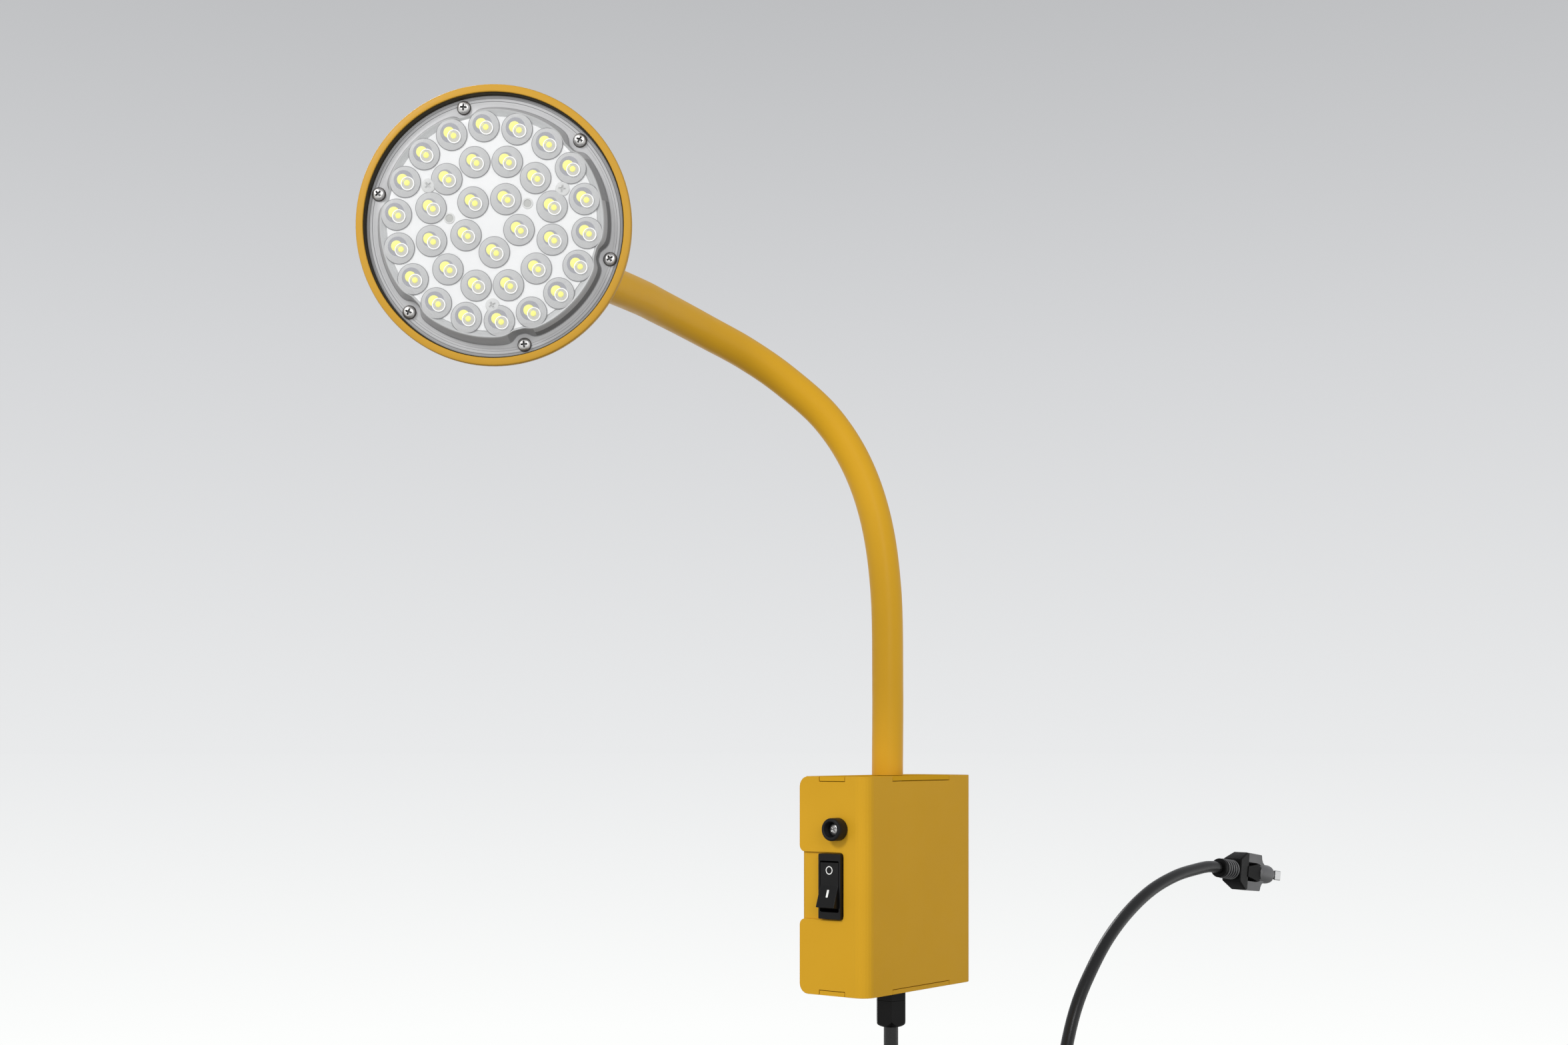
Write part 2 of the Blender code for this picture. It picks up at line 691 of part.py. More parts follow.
def make_gasket(rubber):
    profile = ((0.0434, -0.0063), (0.0495, -0.0063), (0.0495, -0.0052), (0.0434, -0.0052))
    gasket = turned("head_gasket", profile, rubber, head_frame(), 48)
    cutters = holes_on_circle(0.0016, -0.0080, -0.0040, SCREW_CIRCLE, spread(6, SCREW_PHASE))
    shape_by(gasket, cutters, "DIFFERENCE")


def plateau_radius(angle, plain, scallop):
    """Edge of the cover's raised middle, scalloped round each cover screw."""
    for centre in spread(6, SCREW_PHASE):
        off = (angle - centre + math.pi) % (2 * math.pi) - math.pi
        reach = scallop**2 - (SCREW_CIRCLE * math.sin(off)) ** 2
        if abs(off) < math.pi / 6 and reach > 0:
            plain = min(plain, SCREW_CIRCLE * math.cos(off) - math.sqrt(reach))
    return plain


def lens_places():
    place = head_frame()
    for count, ring, phase in LENS_RINGS:
        for angle in spread(count, math.radians(phase)):
            yield place @ Matrix.Translation(clock(ring, angle))


def make_lens_cover(clear):
    """Clear moulding: flange, raised middle and one collimator under each lens disc."""
    rim = 0.0494
    angles = spread(72, 0)
    bm = bmesh.new()

    def ring(radius, height):
        return [bm.verts.new(clock(radius, a) + Vector((0, 0, height))) for a in angles]

    foot = [clock(plateau_radius(a, 0.0446, 0.0038), a) + Vector((0, 0, COVER_SEAT)) for a in angles]
    edge = [clock(plateau_radius(a, 0.0426, 0.0052), a) + Vector((0, 0, COVER_TOP)) for a in angles]
    rings = [[bm.verts.new((0, 0, COVER_TOP - 0.0020))], ring(0.0385, COVER_TOP - 0.0020)]
    rings += [ring(0.0390, -0.0049), ring(rim, -0.0049), ring(rim, COVER_SEAT)]
    rings.append([bm.verts.new(point) for point in foot])
    rings.append([bm.verts.new(point) for point in edge])
    rings.append([bm.verts.new((0, 0, COVER_TOP))])
    for ring_low, following in zip(rings, rings[1:]):
        bridge(bm, ring_low, following)
    cover = mesh_object("lens_cover", bm, clear, head_frame())
    wide = COVER_TOP - 0.0012
    collimator = ((0, wide), (LENS_RADIUS, wide), (0.0036, -0.0110), (0, -0.0110))
    cones = [turned("join", collimator, None, place, 8) for place in lens_places()]
    shape_by(cover, cones, "UNION")
    cutters = holes_on_circle(0.0015, -0.0060, 0.0, SCREW_CIRCLE, spread(6, SCREW_PHASE))
    shape_by(cover, cutters, "DIFFERENCE")


def make_led_board(white):
    profile = ((0, -0.0148), (0.0424, -0.0148), (0.0424, -0.0134), (0, -0.0134))
    board = turned("led_board", profile, white, head_frame(), 48)
    package = ((0, -0.0138), (0.0019, -0.0138), (0.0015, -0.0116), (0, -0.0116))
    shape_by(board, [turned("join", package, None, place, 6) for place in lens_places()], "UNION")
    cutters = holes_on_circle(0.0016, -0.0160, -0.0120, BOARD_SCREW_CIRCLE, spread(3, BOARD_SCREW_PHASE))
    for radius, angle in WIRE_HOLES:
        cutters += holes_on_circle(0.0017, -0.0160, -0.0120, radius, [math.radians(angle)])
    shape_by(board, cutters, "DIFFERENCE")


def make_heat_spreader(aluminium):
    profile = ((0.0095, -0.0192), (0.0424, -0.0192), (0.0424, -0.0151), (0.0095, -0.0151))
    spreader = turned("heat_spreader", profile, aluminium, head_frame(), 36)
    cutters = holes_on_circle(0.0016, -0.0210, -0.0140, BOARD_SCREW_CIRCLE, spread(3, BOARD_SCREW_PHASE))
    for radius, angle in WIRE_HOLES:
        cutters += holes_on_circle(0.0017, -0.0210, -0.0140, radius, [math.radians(angle)])
    shape_by(spreader, cutters, "DIFFERENCE")


def make_head_screws(steel):
    place = head_frame()
    for number, angle in enumerate(spread(6, SCREW_PHASE), 1):
        seat = place @ Matrix.Translation(clock(SCREW_CIRCLE, angle) + Vector((0, 0, -0.0031)))
        pan_screw(f"cover_screw_{number}", seat, 0.0025, 0.0019, 0.00115, 0.0100, steel)
    for number, angle in enumerate(spread(3, BOARD_SCREW_PHASE), 1):
        seat = place @ Matrix.Translation(clock(BOARD_SCREW_CIRCLE, angle) + Vector((0, 0, -0.0131)))
        pan_screw(f"board_screw_{number}", seat, 0.0026, 0.0016, 0.00115, 0.0090, steel)


def make_head_fitting(steel, brass):
    profile = ((NECK_BORE, -0.0357), (0.0050, -0.0357), (0.0050, -0.0156), (NECK_BORE, -0.0156))
    turned("head_fitting", profile, steel, head_frame(), 20)
    nut_profile = ((0.0053, -0.0192), (0.0082, -0.0192), (0.0082, -0.0160), (0.0053, -0.0160))
    nut = turned("head_fitting_nut", nut_profile, brass, head_frame(), 24)
    flats = prism("keep", hexagon(0.0140), -0.0210, -0.0150, None, head_frame())
    shape_by(nut, [flats], "INTERSECT")


# --- lead ---------------------------------------------------------------------
def hank_side(v):
    """Distance of a run from the hank's middle line, v metres from its waist."""
    pinch = math.cos(math.pi * v / HANK_RUN) ** 2
    return HANK_FOLD - (HANK_FOLD - HANK_WAIST) * pinch


def hank_outline(extra):
    """Closed outline of the hank in (x, z) about its waist, grown by an amount."""
    half = HANK_RUN / 2
    steps = 10
    rises = [-half + HANK_RUN * k / steps for k in range(steps + 1)]
    points = [(hank_side(v) + extra, v) for v in rises]
    points += arc((0, half), HANK_FOLD + extra, 0, 180, 10)[1:-1]
    points += [(-hank_side(v) - extra, v) for v in reversed(rises)]
    points += arc((0, -half), HANK_FOLD + extra, 180, 360, 10)[1:-1]
    return points


def make_lead(jacket, tie_black, moulded, plated):
    radius = CORD_DIAMETER / 2
    mouth = -BOX_HEIGHT / 2 - 0.0200
    upper_end = HANK_TOP - 0.0075
    count = 5
    start = mouth - GAP
    heights = [start + (upper_end - start) * k / (count - 1) for k in range(count)]
    cord_tube("lead_upper", [Vector((0, GLAND_Y, z)) for z in heights], jacket)
    waist = HANK_TOP - radius - HANK_FOLD - HANK_RUN / 2
    middle = Vector((-HANK_FOLD, GLAND_Y, waist))
    depth = HANK_PITCH * HANK_TURNS + radius
    flat = Matrix.Translation(middle) @ Matrix.Rotation(math.radians(90), 4, "X")
    prism("lead_hank", hank_outline(radius), -radius, depth, jacket, flat)
    width = 2 * (HANK_WAIST + radius)
    centre = (0, (radius - depth) / 2)
    inner = rounded(width + 0.0016, depth + radius + 0.0012, 0.0010, 3, centre)
    outer = rounded(width + 0.0040, depth + radius + 0.0036, 0.0022, 3, centre)
    upright = Matrix.Translation(middle)
    prism("lead_tie", outer, -0.0045, 0.0045, tie_black, upright, hole=inner)
    slack = resampled(smooth_points(SLACK_KNOTS), 2.4 * CORD_DIAMETER)
    cord_tube("lead_slack", slack, jacket)
    make_plug(moulded, plated)


def make_plug(moulded, plated):
    """Two-blade plug: collar, flared rear, gripped waist between two rails, nose."""
    place = axis_frame(PLUG_START + PLUG_DIRECTION * GAP, PLUG_DIRECTION)
    collar = ((0, 0), (0.0056, 0), (0.0063, 0.0008), (0.0063, 0.0185), (0, 0.0185))
    body = turned("plug_body", collar, moulded, place, 24)
    across = place @ Matrix(((0, 0, -1, 0), (0, 1, 0, 0), (1, 0, 0, 0), (0, 0, 0, 1)))
    flare = ((0.0158, 0.0076), (0.0244, 0.0123), (0.0280, 0.0121))
    flare = list(flare) + [(x, -y) for x, y in reversed(flare)]
    shape_by(body, [prism("join", flare, -0.0062, 0.0062, None, across)], "UNION")
    waist = prism("join", rounded(0.0108, 0.0092, 0.0020, 2), 0.0270, 0.0440, None, place)
    shape_by(body, [waist], "UNION")
    rails = []
    for sign in (-1, 1):
        bar = rounded(0.0112, 0.0056, 0.0008, 1, (0, sign * 0.0094))
        rails.append(prism("join", bar, 0.0270, 0.0420, None, place))
    shape_by(body, rails, "UNION")
    front = prism("join", rounded(0.0112, 0.0180, 0.0040, 3), 0.0400, 0.0428, None, place)
    shape_by(body, [front], "UNION")
    nose = prism("join", rounded(0.0150, 0.0123, 0.0060, 3), 0.0412, 0.0560, None, place)
    shape_by(body, [nose], "UNION")
    for number, x in enumerate((-0.00635, 0.00635), 1):
        at = place @ Matrix.Translation((x, 0, 0))
        prism(f"plug_blade_{number}", rounded(0.0015, 0.0063, 0.0004, 1), 0.0560 + GAP, 0.0628, plated, at)


def main():
    for item in list(bpy.data.objects):
        bpy.data.objects.remove(item, do_unlink=True)
    yellow = material("yellow_powder_coat", (0.80, 0.45, 0.03), 0.38)
    sleeve = material("yellow_sleeve", (0.83, 0.48, 0.03), 0.30)
    steel = material("zinc_steel", (0.62, 0.62, 0.63), 0.30, 1.0)
    brass = material("brass", (0.75, 0.58, 0.28), 0.30, 1.0)
    aluminium = material("aluminium", (0.75, 0.76, 0.77), 0.40, 1.0)
    black = material("black_plastic", (0.015, 0.015, 0.016), 0.42)
    rubber = material("black_rubber", (0.018, 0.018, 0.018), 0.75)
    jacket = material("cord_jacket", (0.02, 0.02, 0.021), 0.50)
    clear = material("clear_polycarbonate", (0.70, 0.72, 0.72), 0.12)
    white = material("white_board", (0.86, 0.86, 0.84), 0.45)
    plated = material("nickel_plate", (0.80, 0.80, 0.80), 0.20, 1.0)

    make_box_cover(yellow)
    make_back_panel(yellow)
    make_end_plates(yellow)
    make_box_screws(steel)
    make_driver(black, white)
    make_switch(black)
    make_bumper(rubber, steel)
    make_gland(black, rubber)
    make_neck_base(brass, steel)
    make_neck(sleeve, steel)
    make_housing(yellow)
    make_gasket(rubber)
    make_lens_cover(clear)
    make_led_board(white)
    make_heat_spreader(aluminium)
    make_head_screws(steel)
    make_head_fitting(steel, brass)
    make_lead(jacket, black, black, plated)


main()
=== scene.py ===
"""Looks of the examination lamp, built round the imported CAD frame. Metres, +Z up."""

import math

import bmesh
import bpy
from mathutils import Matrix, Vector


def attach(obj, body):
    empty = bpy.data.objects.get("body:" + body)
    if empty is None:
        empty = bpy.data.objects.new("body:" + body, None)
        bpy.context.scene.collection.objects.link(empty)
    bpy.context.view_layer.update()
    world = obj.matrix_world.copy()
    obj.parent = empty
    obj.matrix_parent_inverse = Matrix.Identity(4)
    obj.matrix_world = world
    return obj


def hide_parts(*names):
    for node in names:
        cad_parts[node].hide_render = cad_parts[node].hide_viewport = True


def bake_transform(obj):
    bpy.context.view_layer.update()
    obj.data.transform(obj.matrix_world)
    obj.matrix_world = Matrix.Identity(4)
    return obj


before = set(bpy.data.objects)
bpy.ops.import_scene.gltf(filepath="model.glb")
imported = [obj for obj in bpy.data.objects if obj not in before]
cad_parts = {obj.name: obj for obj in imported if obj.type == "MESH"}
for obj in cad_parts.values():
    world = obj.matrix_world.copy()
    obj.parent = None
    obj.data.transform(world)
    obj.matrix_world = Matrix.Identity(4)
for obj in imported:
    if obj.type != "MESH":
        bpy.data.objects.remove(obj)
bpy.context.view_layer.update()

# --- the CAD part's own dimensions, repeated in metres ------------------------------
BOX_WIDTH = 0.0960
BOX_HEIGHT = 0.1075
NECK_RADIUS = 0.00793
NECK_JOINTS = 6
GLAND_Y = -0.0217
GLAND_FLATS = 0.0142
GLAND_TURN = math.radians(8)
GLAND_DROP = 0.0200
HEAD_CENTRE = Vector((-0.3037, -0.0499, 0.2661))
HEAD_HEADING = math.radians(35.5)
HEAD_DROOP = math.radians(3.3)
BOSS_END = -0.0360
SCREW_CIRCLE = 0.0459
SCREW_PHASE = math.radians(-14)
BOARD_SCREW_CIRCLE = 0.0294
BOARD_SCREW_PHASE = math.radians(-58)
LENS_RINGS = ((18, 0.0364, -4), (12, 0.0238, 15), (5, 0.01065, -41))
LENS_RADIUS = 0.00595
WIRE_HOLES = ((0.0174, -79), (0.0153, 56))
CORD_DIAMETER = 0.0075
CORD_RADIUS = CORD_DIAMETER / 2
HANK_TOP = -0.0940
HANK_RUN = 18 * CORD_DIAMETER
HANK_FOLD = 0.0228
HANK_WAIST = 0.0039
HANK_PITCH = 0.0077
HANK_WHOLE_TURNS = 3
PLUG_START = Vector((0.3544, -0.0319, -0.0100))
PLUG_DIRECTION = Vector((0.9840, -0.1400, -0.1250)).normalized()
NECK_KNOTS = (
    (0.0000, -0.0195, 0.0551),
    (0.0000, -0.0197, 0.1000),
    (0.0000, -0.0187, 0.1460),
    (-0.0035, -0.0153, 0.1820),
    (-0.0120, -0.0092, 0.2110),
    (-0.0265, -0.0007, 0.2340),
    (-0.0485, 0.0090, 0.2510),
    (-0.0720, 0.0148, 0.2614),
    (-0.0995, 0.0163, 0.2675),
    (-0.1200, 0.0147, 0.2704),
    (-0.1400, 0.0112, 0.2720),
    (-0.1600, 0.0061, 0.2726),
    (-0.2000, -0.0040, 0.2722),
    (-0.2256, -0.0101, 0.2713),
    (-0.2480, -0.0150, 0.2701),
)
SLACK_KNOTS = (
    (-0.0030, -0.0483, -0.2155),
    (0.0110, -0.0478, -0.2190),
    (0.0400, -0.0460, -0.2205),
    (0.0750, -0.0420, -0.2130),
    (0.1100, -0.0360, -0.1960),
    (0.1400, -0.0290, -0.1720),
    (0.1650, -0.0215, -0.1420),
    (0.1860, -0.0170, -0.1060),
    (0.1975, -0.0172, -0.0836),
    (0.2111, -0.0189, -0.0648),
    (0.2288, -0.0206, -0.0471),
    (0.2517, -0.0222, -0.0321),
    (0.2775, -0.0245, -0.0201),
    (0.3049, -0.0270, -0.0128),
    (0.3293, -0.0291, -0.0098),
    (0.3447, -0.0306, -0.0088),
    (0.3541, -0.0319, -0.0100),
)


# --- camera -------------------------------------------------------------------------
CAMERA_PLACE = (-0.8273, -0.5982, 0.0692)


def make_camera():
    data = bpy.data.cameras.new("camera")
    data.lens = 45.5
    data.sensor_width = 36.0
    data.shift_y = 0.142
    data.clip_start = 0.01
    data.clip_end = 100.0
    camera = bpy.data.objects.new("camera", data)
    camera.location = CAMERA_PLACE
    camera.rotation_euler = (math.radians(90), 0, math.radians(-52.04))
    bpy.context.scene.collection.objects.link(camera)
    bpy.context.scene.camera = camera


make_camera()


# --- materials ----------------------------------------------------------------------
def linear(red, green, blue):
    """A display colour, 0 to 255, as linear light."""
    out = []
    for value in (red, green, blue):
        share = value / 255
        out.append(share / 12.92 if share <= 0.04045 else ((share + 0.055) / 1.055) ** 2.4)
    return tuple(out)


class Paint:
    """A Principled material whose sockets take plain values or node outputs."""

    def __init__(self, name, colour, roughness, **values):
        self.material = bpy.data.materials.new(name)
        self.material.use_nodes = True
        tree = self.material.node_tree
        self.nodes, self.links = tree.nodes, tree.links
        self.shader = self.nodes["Principled BSDF"]
        self.place = self.nodes.new("ShaderNodeTexCoord").outputs["Object"]
        self.set("Base Color", (*colour, 1.0))
        self.set("Roughness", roughness)
        for key, value in values.items():
            self.set(key.replace("_", " ").title().replace("Ior", "IOR"), value)

    def set(self, socket, value):
        if isinstance(value, bpy.types.NodeSocket):
            self.links.new(value, self.shader.inputs[socket])
        else:
            self.shader.inputs[socket].default_value = value

    def stretched(self, factors):
        node = self.nodes.new("ShaderNodeMapping")
        node.inputs["Scale"].default_value = factors
        self.links.new(self.place, node.inputs["Vector"])
        return node.outputs["Vector"]

    def noise(self, scale, detail=4.0, roughness=0.55, place=None):
        node = self.nodes.new("ShaderNodeTexNoise")
        node.inputs["Scale"].default_value = scale
        node.inputs["Detail"].default_value = detail
        node.inputs["Roughness"].default_value = roughness
        self.links.new(place or self.place, node.inputs["Vector"])
        return node.outputs["Fac"]

    def ramp(self, factor, low, high, start=0.3, end=0.7):
        node = self.nodes.new("ShaderNodeMapRange")
        limits = {"From Min": start, "From Max": end, "To Min": low, "To Max": high}
        for key, value in limits.items():
            node.inputs[key].default_value = value
        self.links.new(factor, node.inputs["Value"])
        return node.outputs["Result"]

    def blend_colours(self, factor, first, second):
        node = self.nodes.new("ShaderNodeMix")
        node.data_type = "RGBA"
        self.links.new(factor, node.inputs["Factor"])
        node.inputs["A"].default_value = (*first, 1.0)
        node.inputs["B"].default_value = (*second, 1.0)
        return node.outputs["Result"]

    def bumps(self, *layers):
        """Each layer is (height socket, strength, depth in metres)."""
        normal = None
        for height, strength, depth in layers:
            node = self.nodes.new("ShaderNodeBump")
            node.inputs["Strength"].default_value = strength
            node.inputs["Distance"].default_value = depth
            self.links.new(height, node.inputs["Height"])
            if normal is not None:
                self.links.new(normal, node.inputs["Normal"])
            normal = node.outputs["Normal"]
        self.links.new(normal, self.shader.inputs["Normal"])


def yellow_paint(name, light, dark, roughness, peel, gloss):
    """Yellow coating with a faint cloud in its colour and a fine orange peel."""
    paint = Paint(name, light, roughness, specular_ior_level=gloss)
    cloud = paint.noise(22, 3)
    paint.set("Base Color", paint.blend_colours(paint.ramp(cloud, 0, 1, 0.35, 0.65), light, dark))
    paint.set("Roughness", paint.ramp(paint.noise(160, 3), roughness - 0.05, roughness + 0.06))
    broad = paint.noise(peel, 2, 0.5)
    fine = paint.noise(peel * 5, 2)
    paint.bumps((broad, 0.35, 0.00006), (fine, 0.10, 0.00003))
    return paint.material


def moulded_plastic(name, light, dark, roughness, grain, gloss=0.35):
    paint = Paint(name, light, roughness, specular_ior_level=gloss)
    speck = paint.noise(grain, 2, 0.6)
    paint.set("Base Color", paint.blend_colours(paint.ramp(paint.noise(60, 4), 0, 1), light, dark))
    paint.set("Roughness", paint.ramp(speck, roughness - 0.06, roughness + 0.08))
    paint.bumps((speck, 0.4, 0.00004))
    return paint.material


def metal(name, light, dark, roughness, stretch):
    paint = Paint(name, light, roughness, metallic=1.0)
    grain = paint.noise(900, 3, 0.6, paint.stretched(stretch))
    paint.set("Base Color", paint.blend_colours(paint.ramp(grain, 0, 1), light, dark))
    paint.set("Roughness", paint.ramp(paint.noise(500, 3), roughness - 0.06, roughness + 0.10))
    paint.bumps((grain, 0.15, 0.00002))
    return paint.material


def clear_part(name, colour, roughness, grain=400, painted_glow=0.0, alpha=1.0):
    """A smooth moulding of the lit face; alpha under 1 lets what is behind it show."""
    paint = Paint(name, colour, roughness, alpha=alpha, specular_ior_level=0.30)
    # painted light: emission in the part's own colour, though the part is no lamp
    if painted_glow:
        paint.set("Emission Color", (*colour, 1.0))
        paint.set("Emission Strength", painted_glow)
    haze = paint.noise(grain, 3)
    deeper = tuple(0.96 * c for c in colour)
    paint.set("Base Color", paint.blend_colours(paint.ramp(haze, 0, 1), colour, deeper))
    paint.set("Roughness", paint.ramp(haze, roughness, roughness + 0.05))
    paint.bumps((paint.noise(120, 2), 0.04, 0.00003))
    return paint.material


BOX_SHADES = ((0.700, 0.378, 0.022), (0.685, 0.368, 0.020))
YELLOW = yellow_paint("yellow_paint", *BOX_SHADES, 0.42, 1300, 0.08)
HEAD_YELLOW = yellow_paint(
    "head_yellow", (0.565, 0.309, 0.034), (0.550, 0.298, 0.031), 0.38, 1500, 0.16
)
SLEEVE = yellow_paint(
    "sleeve_yellow", (0.750, 0.405, 0.020), (0.730, 0.392, 0.019), 0.34, 500, 0.15
)
TOP_YELLOW = yellow_paint("top_yellow", *BOX_SHADES, 0.50, 1300, 0.0)
BLACK = moulded_plastic("black_moulding", linear(20, 20, 20), linear(14, 14, 14), 0.38, 2200, 0.22)
PLUG_BLACK = moulded_plastic("plug_black", linear(11, 11, 11), linear(7, 7, 7), 0.45, 2200, 0.16)
NOSE = moulded_plastic("plug_nose", linear(108, 108, 109), linear(98, 98, 99), 0.34, 1600, 0.6)
RUBBER = moulded_plastic("bumper_rubber", linear(22, 22, 23), linear(14, 14, 15), 0.55, 1500, 0.25)
JACKET = moulded_plastic("cord_jacket", linear(24, 24, 24), linear(18, 18, 18), 0.26, 900, 0.55)
STEEL = metal("zinc_steel", (0.70, 0.69, 0.68), (0.52, 0.51, 0.50), 0.34, (1, 1, 1))
# painted shade: dark steel for the inside of the cover screws' cross recess
RECESS_SHADE_STEEL = metal("screw_recess_shade", (0.20, 0.20, 0.20), (0.14, 0.14, 0.14), 0.50, (1, 1, 1))
CORE_STEEL = metal("core_steel", (0.55, 0.55, 0.56), (0.40, 0.40, 0.41), 0.34, (1, 1, 6))
BRASS = metal("brass_nut", (0.75, 0.58, 0.28), (0.62, 0.46, 0.20), 0.30, (1, 1, 1))
ALUMINIUM = metal("plain_aluminium", (0.74, 0.75, 0.76), (0.62, 0.63, 0.64), 0.40, (1, 6, 1))
NICKEL = metal("nickel_blade", (0.78, 0.78, 0.78), (0.66, 0.66, 0.66), 0.22, (1, 8, 8))
INK = moulded_plastic("white_ink", linear(250, 250, 246), linear(238, 238, 234), 0.50, 1800)
GASKET = moulded_plastic("gasket_rubber", linear(20, 20, 18), linear(12, 12, 11), 0.60, 1400)


# --- geometry helpers ---------------------------------------------------------------
def mesh_object(name, bm, *materials, place=None, bevel=0.0, sharp=35):
    bmesh.ops.recalc_face_normals(bm, faces=bm.faces)
    mesh = bpy.data.meshes.new(name)
    bm.to_mesh(mesh)
    bm.free()
    mesh.shade_smooth()
    mesh.set_sharp_from_angle(angle=math.radians(sharp))
    for finish in materials:
        mesh.materials.append(finish)
    if place is not None:
        mesh.transform(place)
    piece = bpy.data.objects.new(name, mesh)
    bpy.context.scene.collection.objects.link(piece)
    if bevel:
        soften(piece, bevel)
    return piece


def soften(piece, width):
    """Round a piece's edges with a narrow bevel."""
    modifier = piece.modifiers.new("edge", "BEVEL")
    modifier.width = width
    modifier.segments = 2
    modifier.limit_method = "ANGLE"
    modifier.angle_limit = math.radians(32)
    modifier.harden_normals = True


def bridge(bm, ring, following, index=0):
    """Faces between two rings; a ring of one point closes to a fan."""
    if len(ring) == 1 and len(following) == 1:
        return
    count = max(len(ring), len(following))
    for k in range(count):
        after = (k + 1) % count
        corners = [ring[k % len(ring)], ring[after % len(ring)]]
        corners += [following[after % len(following)], following[k % len(following)]]
        face = bm.faces.new(list(dict.fromkeys(corners)))
        face.material_index = index


def turn_into(bm, profile, sides, place=Matrix.Identity(4), indices=None, closed=True):
    """Add the turned outline to a mesh; indices gives each band's material."""
    rings = []
    for radius, height in profile:
        if radius == 0:
            rings.append([bm.verts.new(place @ Vector((0, 0, height)))])
            continue
        ring = []
        for k in range(sides):
            angle = 2 * math.pi * k / sides
            spot = Vector((radius * math.cos(angle), radius * math.sin(angle), height))
            ring.append(bm.verts.new(place @ spot))
        rings.append(ring)
    pairs = list(zip(rings, rings[1:]))
    if closed:
        pairs.append((rings[-1], rings[0]))
    for number, (ring, following) in enumerate(pairs):
        bridge(bm, ring, following, 0 if indices is None else indices[number])


def turned(name, profile, *materials, place=None, sides=64, sharp=35):
    bm = bmesh.new()
    turn_into(bm, profile, sides)
    return mesh_object(name, bm, *materials, place=place, sharp=sharp)


def prism_into(bm, outline, low, high, place=Matrix.Identity(4), hole=None):
    """Add an outline drawn up between two heights, with an optional hole through it."""
    rings = []
    for height in (low, high):
        rings.append([bm.verts.new(place @ Vector((x, y, height))) for x, y in outline])
    bridge(bm, rings[0], rings[1])
    if hole is None:
        for ring in rings:
            bm.faces.new(ring)
        return
    inner = []
    for height in (low, high):
        inner.append([bm.verts.new(place @ Vector((x, y, height))) for x, y in hole])
    bridge(bm, inner[0], inner[1])
    bridge(bm, rings[0], inner[0])
    bridge(bm, rings[1], inner[1])


def prism(name, outline, low, high, finish):
    bm = bmesh.new()
    prism_into(bm, outline, low, high)
    return mesh_object(name, bm, finish)


def arc(centre, radius, start, end, steps):
    """Points round an arc, its angles in degrees."""
    points = []
    for k in range(steps + 1):
        angle = math.radians(start + (end - start) * k / steps)
        points.append((centre[0] + radius * math.cos(angle), centre[1] + radius * math.sin(angle)))
    return points


def rounded(width, height, radius, steps=6):
    x = width / 2 - radius
    y = height / 2 - radius
    points = []
    for sign_x, sign_y, start in ((1, 1, 0), (-1, 1, 90), (-1, -1, 180), (1, -1, 270)):
        corner = (sign_x * x, sign_y * y)
        points += arc(corner, radius, start, start + 90, steps)
    return points


def smooth_points(knots, steps=12):
    """Catmull-Rom curve through the knots."""
    knots = [Vector(k) for k in knots]
    ends = [2 * knots[0] - knots[1]] + knots + [2 * knots[-1] - knots[-2]]
    points = []
    for a, b, c, d in zip(ends, ends[1:], ends[2:], ends[3:]):
        for k in range(steps):
            t = k / steps
            squared = (2 * a - 5 * b + 4 * c - d) * t * t
            cubed = (3 * b - a - 3 * c + d) * t**3
            points.append(0.5 * (2 * b + (c - a) * t + squared + cubed))
    points.append(knots[-1])
    return points


def arc_lengths(points):
    lengths = [0.0]
    for before, after in zip(points, points[1:]):
        lengths.append(lengths[-1] + (after - before).length)
    return lengths


def point_at(points, lengths, distance):
    distance = min(max(distance, 0.0), lengths[-1])
    for k in range(len(points) - 1):
        if lengths[k + 1] >= distance:
            share = (distance - lengths[k]) / (lengths[k + 1] - lengths[k])
            return points[k].lerp(points[k + 1], share)
    return points[-1]


def resampled(points, spacing):
    lengths = arc_lengths(points)
    count = max(2, round(lengths[-1] / spacing))
    return [point_at(points, lengths, lengths[-1] * k / count) for k in range(count + 1)]


def axis_frame(origin, direction):
    """Frame at a point whose Z runs in a direction and whose X is level."""
    z = Vector(direction).normalized()
    x = Vector((0, 0, 1)).cross(z).normalized()
    y = z.cross(x)
    place = Matrix((x, y, z)).transposed().to_4x4()
    place.translation = origin
    return place


def spread(count, phase):
    return [phase + 2 * math.pi * k / count for k in range(count)]


def clock(radius, angle):
    """Point on the head's face, its angle measured from 12 o'clock."""
    return Vector((radius * math.sin(angle), radius * math.cos(angle), 0))


def dress(piece, body, replaces=()):
    """Ride on a body and stand for the CAD nodes it replaces."""
    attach(piece, body)
    if replaces:
        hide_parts(*replaces)


# --- cord ---------------------------------------------------------------------------
LEAVE_RADIUS = 0.030
LEAVE_STEP = 22


def hank_side(v):
    """Distance of a run from the hank's middle line, v metres from its waist."""
    pinch = math.cos(math.pi * v / HANK_RUN) ** 2
    return HANK_FOLD - (HANK_FOLD - HANK_WAIST) * pinch


